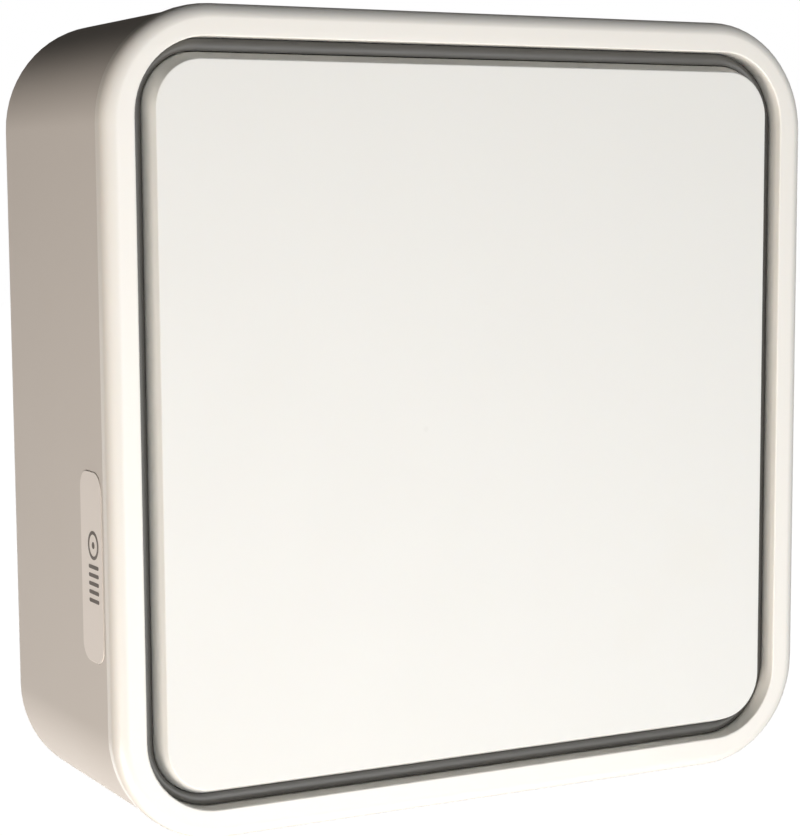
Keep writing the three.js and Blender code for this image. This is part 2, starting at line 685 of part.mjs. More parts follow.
function mountingBracket() {
  const front = bracketFront - PAST;
  const tongue = roundedRectangle(
    TONGUE.width, TONGUE.height, TONGUE.radius, 0, BRACKET_SIZE / 2);
  const plate = join(
    slab(square(BRACKET_SIZE, BRACKET_RADIUS), bracketFront, 0, { curve: 4 }),
    slab(tongue, bracketFront, 0, { curve: 3 }),
  );
  const wallSlots = [-WALL_SLOTS.x, WALL_SLOTS.x].map((x) =>
    slab(capsule(WALL_SLOTS.width, WALL_SLOTS.length, x, 0), front, PAST, { curve: 2 }));
  const windows = [LOWER_WINDOW, UPPER_WINDOW].map(({ height, z }) => slab(
    roundedRectangle(WINDOWS.width, height, WINDOWS.radius, 0, z), front, PAST, { curve: 3 }));
  return cut(
    plate,
    ...windows,
    ...wallSlots,
    ...QUARTERS.map(([sx, sz]) => rod(BOLTS.radius, sx * BOLTS.x, sz * BOLTS.z, front, PAST)),
    ...QUARTERS.map(([sx, sz]) => rod(STUD_SHANK + GAP, sx * STUD_X, sz * STUD_Z, front, PAST)),
    rod(SCREW_HOLE, 0, RIVET_Z, front, PAST),
  );
}

function stud(x, z) {
  const headBack = PLATE_FRONT - GAP;
  const shoulder = bracketFront - GAP;
  return turned([[0, headBack - 1.6], [STUD_HEAD - 0.6, headBack - 1.6], [STUD_HEAD, headBack - 1],
    [STUD_HEAD, headBack], [STUD_SHANK, headBack], [STUD_SHANK, shoulder - 0.8],
    [STUD_SHOULDER, shoulder - 0.8], [STUD_SHOULDER, shoulder], [STUD_SHANK, shoulder],
    [STUD_SHANK, -GAP], [0, -GAP]], x, z);
}

// The outline of a bent strip: its middle line's Y and Z, offset by half its thickness each way.
function bentStrip(points, thickness) {
  const middle = points.map(([y, z]) => new THREE.Vector2(y, z));
  const offsets = middle.map((point, i) => {
    const before = middle[Math.max(i - 1, 0)];
    const after = middle[Math.min(i + 1, middle.length - 1)];
    const along = after.clone().sub(before).normalize();
    return new THREE.Vector2(along.y, -along.x).multiplyScalar(thickness / 2);
  });
  const rightSide = middle.map((point, i) => point.clone().add(offsets[i]));
  const leftSide = middle.map((point, i) => point.clone().sub(offsets[i]));
  return new THREE.Shape([...rightSide, ...leftSide.reverse()]);
}

// Leaf of the catch: a flat foot under the rivet, a ramp away from the wall, a nose that drops
// into the back plate's slot and a tail to press it back by.
function catchSpring() {
  const leaf = bentStrip(CATCH_LINE, LEAF_THICKNESS);
  const geometry = new THREE.ExtrudeGeometry(leaf, { depth: LEAF_WIDTH, bevelEnabled: false });
  const turn = new THREE.Matrix4().makeBasis(
    new THREE.Vector3(0, 1, 0), new THREE.Vector3(0, 0, 1), new THREE.Vector3(1, 0, 0));
  geometry.applyMatrix4(turn);
  geometry.translate(-LEAF_WIDTH / 2, 0, 0);
  return cut(geometry, rod(SCREW_HOLE, 0, RIVET_Z, -5, 0));
}

function catchRivet() {
  const leafFront = bracketFront - GAP - LEAF_THICKNESS;
  return turned([[0, leafFront - 1.5], [2, leafFront - 1.5], [3, leafFront - 0.7],
    [3, leafFront - GAP], [1.6, leafFront - GAP], [1.6, -GAP], [0, -GAP]], 0, RIVET_Z);
}

place(bracketGroup, 'mounting_bracket', mountingBracket(), 'zincSteel');
[[-1, -1], [-1, 1], [1, -1], [1, 1]].forEach(([sx, sz], i) => {
  place(bracketGroup, `bracket_stud_${i + 1}`, stud(sx * STUD_X, sz * STUD_Z), 'zincSteel');
});

place(bracketGroup, 'catch_spring', catchSpring(), 'springSteel');
place(bracketGroup, 'catch_rivet', catchRivet(), 'zincSteel');

export default accessPoint;
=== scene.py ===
import json
import math

import bmesh
import bpy
from bpy.props import FloatProperty, FloatVectorProperty, IntProperty, PointerProperty
from mathutils import Matrix, Vector


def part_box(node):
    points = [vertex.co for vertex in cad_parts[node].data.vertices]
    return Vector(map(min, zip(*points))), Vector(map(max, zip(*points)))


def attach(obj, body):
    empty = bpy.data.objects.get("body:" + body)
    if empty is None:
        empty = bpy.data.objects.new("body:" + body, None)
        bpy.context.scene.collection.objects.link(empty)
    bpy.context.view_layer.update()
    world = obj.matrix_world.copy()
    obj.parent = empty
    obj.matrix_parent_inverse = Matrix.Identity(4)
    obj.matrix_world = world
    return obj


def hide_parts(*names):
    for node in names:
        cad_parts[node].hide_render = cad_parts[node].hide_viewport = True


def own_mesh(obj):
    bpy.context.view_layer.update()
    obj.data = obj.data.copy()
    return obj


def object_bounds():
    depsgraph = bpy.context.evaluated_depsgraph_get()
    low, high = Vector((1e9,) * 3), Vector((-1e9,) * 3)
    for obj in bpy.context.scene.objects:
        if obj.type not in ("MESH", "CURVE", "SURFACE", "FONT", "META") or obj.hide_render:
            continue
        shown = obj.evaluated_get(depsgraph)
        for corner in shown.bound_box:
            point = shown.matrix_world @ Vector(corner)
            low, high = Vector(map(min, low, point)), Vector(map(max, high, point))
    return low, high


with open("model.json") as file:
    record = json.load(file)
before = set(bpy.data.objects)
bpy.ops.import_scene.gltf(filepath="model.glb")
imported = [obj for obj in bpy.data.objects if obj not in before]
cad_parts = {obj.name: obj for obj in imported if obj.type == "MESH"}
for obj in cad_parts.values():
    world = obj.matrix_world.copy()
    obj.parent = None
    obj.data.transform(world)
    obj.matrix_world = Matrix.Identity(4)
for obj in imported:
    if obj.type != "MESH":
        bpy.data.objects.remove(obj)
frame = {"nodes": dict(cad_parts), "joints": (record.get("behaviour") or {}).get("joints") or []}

bl_info = {
    "name": "Square Access Point",
    "version": (1, 0, 0),
    "blender": (4, 5, 0),
    "location": "3D View > Sidebar > Access Point",
    "description": "Finishes the surfaces of a square access point on its bracket, and lights it",
    "category": "Add Mesh",
}

CAD_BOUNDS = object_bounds()
MM = 0.001

# ---------------------------------------------------------------- places taken from the frame

BEZEL_LOW, BEZEL_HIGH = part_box("front_bezel")
PANEL_LOW, PANEL_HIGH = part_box("centre_panel")
RING_LOW, RING_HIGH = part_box("light_ring")
SHELL_LOW, SHELL_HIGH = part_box("housing_shell")
PLATE_LOW, PLATE_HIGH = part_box("back_plate")
LABEL_LOW, LABEL_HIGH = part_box("side_label")
BRACKET_LOW, BRACKET_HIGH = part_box("mounting_bracket")

FRONT = BEZEL_LOW.y
WIDTH = BEZEL_HIGH.x - BEZEL_LOW.x
SHELL_WIDTH = SHELL_HIGH.x - SHELL_LOW.x
SHELL_FRONT = SHELL_LOW.y
SHELL_BACK = SHELL_HIGH.y
PANEL_WIDTH = PANEL_HIGH.x - PANEL_LOW.x
PLATE_WIDTH = PLATE_HIGH.x - PLATE_LOW.x
PLATE_BACK = PLATE_HIGH.y
UNIT_CENTRE = (CAD_BOUNDS[0] + CAD_BOUNDS[1]) / 2
LIFT = frame["joints"][0]["range_m"][1]
PLATE_THICKNESS = 2.5 * MM
PLATE_FRONT = PLATE_BACK - PLATE_THICKNESS

# The fixings' patterns: half their spans across and up, the bosses' radius, and the corners' signs
BOSSES_X = 85 * MM
BOSSES_Z = 55 * MM
BOSS_RADIUS = 4 * MM
STUDS_X = 50 * MM
STUDS_Z = 45 * MM
CORNERS = ((-1, -1), (-1, 1), (1, 1), (1, -1))

# The smallest corner radius of a loop, and how far a cut or a join reaches past a face
SHARP = 0.01 * MM
PAST = 1 * MM

# How much a loop's corner radius grows for each step outwards of a ledge or flange
CORNER_GROWTH = 0.85


def axis_of(node):
    """The place across and up of the middle of a node's box."""
    low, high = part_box(node)
    return (low.x + high.x) / 2, (low.z + high.z) / 2


def numbered(name, count=4):
    """The names of a numbered set of nodes."""
    return [f"{name}_{i}" for i in range(1, count + 1)]


# ---------------------------------------------------------------- sizes and colours to change

def length(name, description, default):
    return FloatProperty(name=name, description=description, default=default, unit="LENGTH", precision=5)


def colour(name, description, default):
    return FloatVectorProperty(
        name=name, description=description, default=default, subtype="COLOR", min=0, max=1)


class AccessPointShape(bpy.types.PropertyGroup):
    """Sizes of the visible edges and of the details that the frame leaves plain"""
    corner_radius: length("Corner radius", "Radius of the bezel's outer corners", 28 * MM)
    bezel_fillet: length("Bezel fillet", "Rounding between the bezel's side and its face", 3.6 * MM)
    groove_width: length("Groove outer size", "Width of the bezel's inner opening", 184.4 * MM)
    groove_radius: length("Groove radius", "Corner radius of the bezel's inner opening", 18.6 * MM)
    groove_lip: length("Groove lip", "Rounding of the bezel's inner edge", 0.4 * MM)
    panel_radius: length("Panel radius", "Corner radius of the centre panel's face", 11.8 * MM)
    panel_draft: length("Panel draft", "How far its sides spread down to the groove's floor", 1.6 * MM)
    panel_lip: length("Panel lip", "Rounding of the panel's front edge", 0.35 * MM)
    groove_depth: length("Groove depth", "Depth of the groove's floor below the face", 4.5 * MM)
    rear_round: length("Rear rounding", "Rounding of the shell's rear edge", 5 * MM)
    plaque_radius: length("Plaque radius", "Corner radius of the side plaque", 4.5 * MM)
    edge_round: length("Small edges", "Rounding of small moulded edges", 0.3 * MM)
    corner_steps: IntProperty(name="Corner steps", description="Faces round each corner", default=16, min=4)


class AccessPointFinish(bpy.types.PropertyGroup):
    """Colours of the finishes that show"""
    bezel: colour("Bezel", "Cream-white satin plastic", (0.86, 0.85, 0.81))
    panel: colour("Panel", "Near-white matt plastic", (0.81, 0.82, 0.80))
    shell: colour("Shell", "Warm off-white matt plastic", (0.71, 0.68, 0.645))
    # The groove colour is darker than the diffuser's own smoke grey: part of its darkness is painted shade
    # for the deep groove.
    groove: colour("Groove", "Smoke-grey diffuser darkened as painted groove shade", (0.10, 0.097, 0.088))
    plaque: colour("Plaque", "Pale satin plastic", (0.88, 0.84, 0.80))
    mark: colour("Mark", "Printed grey-brown mark", (0.14, 0.12, 0.10))
    board: colour("Board", "Green solder mask", (0.012, 0.085, 0.045))


class AccessPointStudio(bpy.types.PropertyGroup):
    """Camera and lamps"""
    focal_length: FloatProperty(name="Focal length", description="Camera lens in millimetres", default=95.6)
    yaw: FloatProperty(name="Yaw", description="Turn of the view to the right", default=28.05)
    pitch: FloatProperty(name="Pitch", description="Fall of the view below level", default=6.91)
    roll: FloatProperty(name="Roll", description="Tilt of the view about its own axis", default=-0.34)
    rise: FloatProperty(name="Rise", description="Upward shift of the lens", default=0.062)
    key_power: FloatProperty(name="Key", description="Power of the main soft lamp in watts", default=15)
    fill_power: FloatProperty(name="Fill", description="Power of the left soft lamp in watts", default=14)
    low_power: FloatProperty(name="Low", description="Power of the lamp below in watts", default=1)
    back_power: FloatProperty(name="Back", description="Power of the lamps behind in watts", default=8)


# ---------------------------------------------------------------- node trees

class Graph:
    """A node tree being filled: add() makes a node, sets its values and joins its sockets."""

    def __init__(self, tree):
        self.tree = tree
        self.tree.nodes.clear()

    def add(self, kind, values=None, **settings):
        node = self.tree.nodes.new(kind)
        for name, value in settings.items():
            setattr(node, name, value)
        for key, value in (values or {}).items():
            self.feed(node.inputs[key], value)
        return node

    def feed(self, socket, value):
        if isinstance(value, bpy.types.NodeSocket):
            self.tree.links.new(value, socket)
        else:
            socket.default_value = value

    def maths(self, operation, first, second=0.0):
        return self.add("ShaderNodeMath", {0: first, 1: second}, operation=operation).outputs[0]

    def mix(self, factor, first, second):
        """The colour between two colours: inputs 6 and 7 and output 2 are the Mix node's colour ones."""
        return self.add("ShaderNodeMix", {0: factor, 6: first, 7: second}, data_type="RGBA").outputs[2]

    def noise(self, place, scale, detail=2.0, roughness=0.5):
        """A cloudy value from 0 to 1."""
        return self.add("ShaderNodeTexNoise", {
            "Vector": place, "Scale": scale, "Detail": detail, "Roughness": roughness}).outputs["Fac"]

    def ramp(self, value, from_min, from_max, to_min, to_max):
        """A value moved from one range to another, and kept inside it."""
        return self.add("ShaderNodeMapRange", {
            "Value": value, "From Min": from_min, "From Max": from_max, "To Min": to_min,
            "To Max": to_max}).outputs[0]


def shader_group(name, inputs, outputs):
    """A new shader group with these (name, socket type, default) inputs and (name, type) outputs."""
    tree = bpy.data.node_groups.new(name, "ShaderNodeTree")
    for label, kind, default in inputs:
        socket = tree.interface.new_socket(label, in_out="INPUT", socket_type=kind)
        socket.default_value = default
    for label, kind in outputs:
        tree.interface.new_socket(label, in_out="OUTPUT", socket_type=kind)
    graph = Graph(tree)
    return graph, graph.add("NodeGroupInput"), graph.add("NodeGroupOutput")


FLOAT, COLOR, VECTOR = "NodeSocketFloat", "NodeSocketColor", "NodeSocketVector"


def grain_group():
    """Moulded texture: a fine height, and a roughness that wanders a little over the surface."""
    graph, given, out = shader_group(
        "Moulded grain",
        [("Scale", FLOAT, 1500.0), ("Roughness", FLOAT, 0.5), ("Spread", FLOAT, 0.06)],
        [("Height", FLOAT), ("Roughness", FLOAT)])
    place = graph.add("ShaderNodeTexCoord").outputs["Object"]
    fine = graph.noise(place, given.outputs["Scale"], 3.0, 0.6)
    centred = graph.maths("SUBTRACT", graph.noise(place, 38.0, 4.0, 0.55), 0.5)
    wander = graph.maths("MULTIPLY", centred, given.outputs["Spread"])
    graph.feed(out.inputs["Height"], fine)
    graph.feed(out.inputs["Roughness"], graph.maths("ADD", given.outputs["Roughness"], wander))
    return graph.tree


def ageing_group():
    """Takes a clean colour, and gives it with a broad warm drift and fine dust."""
    graph, given, out = shader_group(
        "Handling and dust",
        [("Color", COLOR, (0.8, 0.8, 0.8, 1)), ("Drift tint", COLOR, (0.8, 0.78, 0.7, 1)),
         ("Drift", FLOAT, 0.15), ("Dust", FLOAT, 0.05)],
        [("Color", COLOR)])
    place = graph.add("ShaderNodeTexCoord").outputs["Object"]
    drift = graph.ramp(graph.noise(place, 11.0, 3.0), 0.35, 0.2, 0.0, given.outputs["Drift"])
    tinted = graph.mix(drift, given.outputs["Color"], given.outputs["Drift tint"])
    specks = graph.add("ShaderNodeTexVoronoi", {"Vector": place, "Scale": 26.0, "Randomness": 1.0})
    near = graph.ramp(specks.outputs["Distance"], 0.012, 0.034, 1.0, 0.0)
    amount = graph.maths("MULTIPLY", near, given.outputs["Dust"])
    graph.feed(out.inputs["Color"], graph.mix(amount, tinted, (0.25, 0.23, 0.2, 1)))
    return graph.tree


def brushed_group():
    """Rolled or brushed metal: streaks along one axis as height and roughness, and a cloudy tone."""
    graph, given, out = shader_group(
        "Rolled metal",
        [("Stretch", VECTOR, (900.0, 900.0, 40.0)), ("Roughness", FLOAT, 0.35), ("Spread", FLOAT, 0.25)],
        [("Height", FLOAT), ("Roughness", FLOAT), ("Tone", FLOAT)])
    place = graph.add("ShaderNodeTexCoord").outputs["Object"]
    stretched = graph.add(
        "ShaderNodeVectorMath", {0: place, 1: given.outputs["Stretch"]}, operation="MULTIPLY")
    streaks = graph.noise(stretched.outputs[0], 1.0, 4.0)
    centred = graph.maths("SUBTRACT", streaks, 0.5)
    wander = graph.maths("MULTIPLY", centred, given.outputs["Spread"])
    graph.feed(out.inputs["Height"], streaks)
    graph.feed(out.inputs["Roughness"], graph.maths("ADD", given.outputs["Roughness"], wander))
    graph.feed(out.inputs["Tone"], graph.noise(place, 60.0, 5.0, 0.6))
    return graph.tree


def artwork_group():
    """Circuit board artwork: track and pad masks on the board's own X and Z grid."""
    graph, given, out = shader_group(
        "Board artwork", [("Pitch", FLOAT, 420.0)], [("Tracks", FLOAT), ("Pads", FLOAT)])
    place = graph.add("ShaderNodeTexCoord").outputs["Object"]
    split = graph.add("ShaderNodeSeparateXYZ", {0: place})
    flat = graph.add("ShaderNodeCombineXYZ", {0: split.outputs[0], 1: split.outputs[2]}).outputs[0]
    bricks = graph.add("ShaderNodeTexBrick", {
        "Vector": flat, "Scale": given.outputs["Pitch"], "Mortar Size": 0.05, "Brick Width": 2.4,
        "Row Height": 0.5})
    cells = graph.add("ShaderNodeTexVoronoi", {
        "Vector": flat, "Scale": given.outputs["Pitch"], "Randomness": 0.35}, distance="CHEBYCHEV")
    here = graph.maths("GREATER_THAN", graph.noise(flat, 70.0), 0.5)
    pads = graph.maths("LESS_THAN", cells.outputs["Distance"], 0.2)
    graph.feed(out.inputs["Tracks"], graph.maths("MULTIPLY", bricks.outputs["Fac"], here))
    graph.feed(out.inputs["Pads"], graph.maths("MULTIPLY", pads, here))
    return graph.tree


GROUP_MAKERS = {
    "Moulded grain": grain_group,
    "Handling and dust": ageing_group,
    "Rolled metal": brushed_group,
    "Board artwork": artwork_group,
}


def shared(name):
    return bpy.data.node_groups.get(name) or GROUP_MAKERS[name]()


# ---------------------------------------------------------------- materials

def new_material(name, colour_shown, metallic=0.0):
    material = bpy.data.materials.new(name)
    material.use_nodes = True
    material.diffuse_color = (*colour_shown, 1)
    graph = Graph(material.node_tree)
    surface = graph.add("ShaderNodeBsdfPrincipled", {"Metallic": metallic})
    graph.add("ShaderNodeOutputMaterial", {"Surface": surface.outputs[0]})
    return material, graph, surface


def use_group(graph, name, values):
    node = graph.add("ShaderNodeGroup", node_tree=shared(name))
    for key, value in values.items():
        graph.feed(node.inputs[key], value)
    return node


def bump(graph, surface, height, strength, distance):
    node = graph.add("ShaderNodeBump", {"Height": height, "Strength": strength, "Distance": distance})
    graph.feed(surface.inputs["Normal"], node.outputs[0])


def plastic(name, base, tint, roughness=0.5, grain=1500.0, relief=0.12, drift=0.2, dust=0.04, spread=0.08,
            coat=0.0, scatter=0.0):
    """Moulded plastic with a fine grain, a broad tint and a little dust."""
    material, graph, surface = new_material(name, base)
    aged = use_group(graph, "Handling and dust", {
        "Color": (*base, 1), "Drift tint": (*tint, 1), "Drift": drift, "Dust": dust})
    texture = use_group(graph, "Moulded grain", {"Scale": grain, "Roughness": roughness, "Spread": spread})
    graph.feed(surface.inputs["Base Color"], aged.outputs["Color"])
    graph.feed(surface.inputs["Roughness"], texture.outputs["Roughness"])
    surface.inputs["Coat Weight"].default_value = coat
    surface.inputs["Subsurface Weight"].default_value = scatter
    surface.inputs["Subsurface Radius"].default_value = (0.004, 0.003, 0.002)
    surface.inputs["Subsurface Scale"].default_value = 0.5
    bump(graph, surface, texture.outputs["Height"], relief, 0.1 * MM)
    return material


def metal(name, base, roughness=0.35, stretch=(900.0, 900.0, 40.0), relief=0.08, spread=0.25):
    """Bare or plated metal with rolling streaks and a cloudy tone."""
    material, graph, surface = new_material(name, base, metallic=1.0)
    rolled = use_group(graph, "Rolled metal", {
        "Stretch": stretch, "Roughness": roughness, "Spread": spread})
    darker = [channel * 0.82 for channel in base]
    tone = graph.mix(rolled.outputs["Tone"], (*base, 1), (*darker, 1))
    graph.feed(surface.inputs["Base Color"], tone)
    graph.feed(surface.inputs["Roughness"], rolled.outputs["Roughness"])
    bump(graph, surface, rolled.outputs["Height"], relief, 0.1 * MM)
    return material


def circuit_board(name, base, track, pad, roughness=0.4):
    """Solder mask over tracks, with bare pads."""
    material, graph, surface = new_material(name, base)
    art = use_group(graph, "Board artwork", {"Pitch": 420.0})
    texture = use_group(graph, "Moulded grain", {"Scale": 2600.0, "Roughness": roughness, "Spread": 0.1})
    tracked = graph.mix(art.outputs["Tracks"], (*base, 1), (*track, 1))
    padded = graph.mix(art.outputs["Pads"], tracked, (*pad, 1))
    graph.feed(surface.inputs["Base Color"], padded)
    graph.feed(surface.inputs["Metallic"], art.outputs["Pads"])
    graph.feed(surface.inputs["Roughness"], texture.outputs["Roughness"])
    bump(graph, surface, art.outputs["Tracks"], 0.3, 0.05 * MM)
    return material


def warmer(base, amount=0.12):
    """The same colour, a little yellower and darker."""
    red, green, blue = base
    return red * (1 - amount * 0.2), green * (1 - amount * 0.5), blue * (1 - amount)


MATERIAL_MAKERS = {
    "bezel_plastic": lambda look: plastic(
        "Bezel plastic", tuple(look.bezel), warmer(look.bezel), roughness=0.36, relief=0.05, drift=0.12,
        dust=0.03, coat=0.08, scatter=0.04),
    "panel_plastic": lambda look: plastic(
        "Panel plastic", tuple(look.panel), warmer(look.panel, 0.2), roughness=0.46, relief=0.06,
        drift=0.3, dust=0.12, scatter=0.04),
    "shell_plastic": lambda look: plastic(
        "Housing plastic", tuple(look.shell), warmer(look.shell, 0.2), roughness=0.62, grain=1100.0,
        relief=0.22, drift=0.3, dust=0.05, spread=0.12),
    # The smoke diffuser takes the groove colour: its own smoke grey, darkened further as painted shade in
    # the groove.
    "smoke_diffuser": lambda look: plastic(
        "Smoke diffuser with painted groove shade", tuple(look.groove), warmer(look.groove), roughness=0.42, relief=0.06, dust=0.02,
        drift=0.1),
    "plaque_plastic": lambda look: plastic(
        "Plaque plastic", tuple(look.plaque), warmer(look.plaque), roughness=0.5, relief=0.08, drift=0.15),
    "ceramic": lambda look: plastic(
        "Ceramic", (0.42, 0.36, 0.28), (0.3, 0.25, 0.2), roughness=0.4, grain=3000.0, relief=0.1),
    "mark_print": lambda look: plastic(
        "Printed mark", tuple(look.mark), warmer(look.mark), roughness=0.55, relief=0.05, dust=0.0),
    "carrier_plastic": lambda look: plastic(
        "Carrier plastic", (0.58, 0.57, 0.53), (0.5, 0.48, 0.42), roughness=0.55, relief=0.15),
    "button_grey": lambda look: plastic(
        "Button plastic", (0.16, 0.165, 0.17), (0.13, 0.13, 0.12), roughness=0.45, relief=0.1),
    "chip_black": lambda look: plastic(
        "Moulding compound", (0.018, 0.018, 0.02), (0.03, 0.028, 0.025), roughness=0.55, grain=2400.0,
        relief=0.25, dust=0.1),
    "thermal_pad": lambda look: plastic(
        "Heat pad", (0.23, 0.32, 0.38), (0.2, 0.26, 0.3), roughness=0.8, grain=700.0, relief=0.3),
    "lead_black": lambda look: plastic(
        "Lead jacket", (0.012, 0.012, 0.013), (0.03, 0.03, 0.03), roughness=0.4, grain=900.0, relief=0.15),
    "led_lens": lambda look: plastic(
        "Lens resin", (0.86, 0.83, 0.66), (0.8, 0.74, 0.5), roughness=0.22, relief=0.03, coat=0.4),
    "board_green": lambda look: circuit_board(
        "Green board", tuple(look.board), (0.02, 0.14, 0.07), (0.72, 0.52, 0.22)),
    "board_white": lambda look: circuit_board(
        "White board", (0.76, 0.77, 0.74), (0.62, 0.63, 0.6), (0.72, 0.6, 0.35)),
    "zinc_steel": lambda look: metal("Zinc-plated steel", (0.62, 0.63, 0.63), roughness=0.4),
    "spring_steel": lambda look: metal(
        "Spring steel", (0.5, 0.5, 0.51), roughness=0.26, stretch=(1200.0, 80.0, 80.0)),
    "tinned_steel": lambda look: metal("Tinned steel", (0.72, 0.71, 0.68), roughness=0.28, relief=0.05),
    "aluminium": lambda look: metal(
        "Bare aluminium", (0.78, 0.79, 0.8), roughness=0.38, stretch=(700.0, 700.0, 30.0)),
    "brass": lambda look: metal("Gold-coloured plating", (0.86, 0.62, 0.27), roughness=0.24, relief=0.04),
}


MADE_FINISHES = {}


def finish(slot):
    """The material of one of the record's slots, made on first use."""
    name = "finish_" + slot
    if name not in MADE_FINISHES:
        MADE_FINISHES[name] = MATERIAL_MAKERS[slot](bpy.context.scene.access_point_finish)
    return MADE_FINISHES[name]


# ---------------------------------------------------------------- mesh tools

def rounded_loop(width, height, radius, y, centre=(0.0, 0.0), steps=None):
    """Points round a rounded rectangle at one depth, from the lower right corner, anticlockwise."""
    steps = steps or bpy.context.scene.access_point_shape.corner_steps
    half_width = width / 2 - radius
    half_height = height / 2 - radius
    corners = ((1, -1, -90), (1, 1, 0), (-1, 1, 90), (-1, -1, 180))
    points = []
    for across, up, start in corners:
        for step in range(steps + 1):
            angle = math.radians(start + 90 * step / steps)
            points.append(Vector((
                centre[0] + across * half_width + radius * math.cos(angle), y,
                centre[1] + up * half_height + radius * math.sin(angle))))
    return points


def square_loop(width, radius, y):
    return rounded_loop(width, width, radius, y)


def round_loop(radius, y, centre=(0.0, 0.0), sides=32):
    turn = 2 * math.pi / sides
    return [Vector((centre[0] + radius * math.cos(i * turn), y, centre[1] + radius * math.sin(i * turn)))
            for i in range(sides)]


def skin(loops, closed=False, cap_first=False, cap_last=False, into=None):
    """Joins each loop of points to the next, in a new mesh or in one that is given."""
    mesh = into or bmesh.new()
    rows = [[mesh.verts.new(point) for point in loop] for loop in loops]
    following = rows[1:] + rows[:1] if closed else rows[1:]
    faces = []
    for row, after in zip(rows, following):
        for i in range(len(row)):
            j = (i + 1) % len(row)
            faces.append(mesh.faces.new((row[i], row[j], after[j], after[i])))
    if cap_first:
        faces.append(mesh.faces.new(rows[0]))
    if cap_last:
        faces.append(mesh.faces.new(rows[-1]))
    bmesh.ops.recalc_face_normals(mesh, faces=faces)
    return mesh


def capped(loops, into=None):
    """A skin over these loops with both of its ends closed."""
    return skin(loops, cap_first=True, cap_last=True, into=into)


def finished(mesh, name, weighted=True, bevel=0.0, bevel_steps=2):
    """An object of this mesh or bmesh, with soft edges rounded and its flat faces shaded flat."""
    if isinstance(mesh, bmesh.types.BMesh):
        data = bpy.data.meshes.new(name)
        mesh.to_mesh(data)
        mesh.free()
    else:
        data = mesh
    data.name = name
    thing = bpy.data.objects.new(name, data)
    bpy.context.scene.collection.objects.link(thing)
    if bevel:
        edge = thing.modifiers.new("Edges", "BEVEL")
        edge.width = bevel
        edge.segments = bevel_steps
        edge.limit_method = "ANGLE"
        edge.angle_limit = math.radians(35)
        edge.use_clamp_overlap = True
    bake_modifiers(thing)
    if weighted:
        even_normals(thing)
    else:
        smooth(thing.data)
    return thing


def bake_modifiers(thing):
    """Turns the evaluated object into its own plain mesh and drops its modifiers."""
    if not thing.modifiers:
        return
    graph = bpy.context.evaluated_depsgraph_get()
    data = bpy.data.meshes.new_from_object(thing.evaluated_get(graph), depsgraph=graph)
    thing.modifiers.clear()
    thing.data = data


def smooth(data, limit=38):
    """Shades the faces smooth, except across edges that turn more than the limit in degrees."""
    data.polygons.foreach_set("use_smooth", [True] * len(data.polygons))
    data.set_sharp_from_angle(angle=math.radians(limit))
    data.update()


def even_normals(thing):
    """Smooths a piece and weights its normals by the size of its faces."""
    smooth(thing.data)
    even = thing.modifiers.new("Normals", "WEIGHTED_NORMAL")
    even.keep_sharp = True
    bake_modifiers(thing)


def settle(thing, slot, body, *nodes):
    """Gives a finished piece the material of its slot when it has none, puts it on its body and hides the
    nodes that it stands for.
    """
    if not thing.data.polygons:
        raise RuntimeError(f"{thing.name} has no faces")
    if not thing.data.materials:
        thing.data.materials.append(finish(slot))
    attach(thing, body)
    if nodes:
        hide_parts(*nodes)
    return thing


def softened(node, bevel):
    """A copy of a node's mesh with its seams closed and its edges rounded."""
    mesh = bmesh.new()
    mesh.from_mesh(frame["nodes"][node].data)
    bmesh.ops.remove_doubles(mesh, verts=mesh.verts, dist=0.002 * MM)
    bmesh.ops.dissolve_limit(mesh, angle_limit=math.radians(1), verts=mesh.verts, edges=mesh.edges)
    thing = finished(mesh, node + "_skin", bevel=bevel)
    thing.data.materials.clear()
    return thing


def plate(name, outline, holes, front, back, edge):
    """A flat plate with rounded edges, filled between an outline and its holes, as a mesh."""
    curve = bpy.data.curves.new(name, "CURVE")
    curve.dimensions = "2D"
    curve.fill_mode = "BOTH"
    curve.extrude = (back - front) / 2 - edge
    curve.bevel_depth = edge
    curve.bevel_resolution = 2
    for points in [outline, *holes]:
        spline = curve.splines.new("POLY")
        spline.points.add(len(points) - 1)
        for place, point in zip(spline.points, points):
            place.co = (point.x, point.z, 0, 1)
        spline.use_cyclic_u = True
    holder = bpy.data.objects.new(name + "_outline", curve)
    bpy.context.scene.collection.objects.link(holder)
    graph = bpy.context.evaluated_depsgraph_get()
    data = bpy.data.meshes.new_from_object(holder.evaluated_get(graph), depsgraph=graph)
    bpy.data.objects.remove(holder)
    data.transform(Matrix.Rotation(math.radians(90), 4, "X"))
    data.transform(Matrix.Translation((0, (front + back) / 2, 0)))
    mesh = bmesh.new()
    mesh.from_mesh(data)
    bmesh.ops.remove_doubles(mesh, verts=mesh.verts, dist=0.003 * MM)
    bmesh.ops.recalc_face_normals(mesh, faces=mesh.faces)
    return mesh


def join_meshes(*meshes):
    """All the faces of several bmeshes in one."""
    whole = meshes[0]
    for part in meshes[1:]:
        data = bpy.data.meshes.new("part")
        part.to_mesh(data)
        part.free()
        whole.from_mesh(data)
        bpy.data.meshes.remove(data)
    return whole


def carve(thing, tool_mesh, operation="DIFFERENCE"):
    """Cuts a bmesh out of an object, or adds it, and leaves a plain mesh."""
    tool = bpy.data.objects.new("tool", bpy.data.meshes.new("tool"))
    tool_mesh.to_mesh(tool.data)
    tool_mesh.free()
    bpy.context.scene.collection.objects.link(tool)
    cutter = thing.modifiers.new("Cut", "BOOLEAN")
    cutter.operation = operation
    cutter.solver = "EXACT"
    cutter.object = tool
    bake_modifiers(thing)
    bpy.data.objects.remove(tool)
    return thing


def turned(profile, centre, sides=32, into=None):
    """A turned solid on an axis along Y, from (radius, y) pairs that start and end off the axis."""
    return capped([round_loop(radius, y, centre, sides) for radius, y in profile], into)


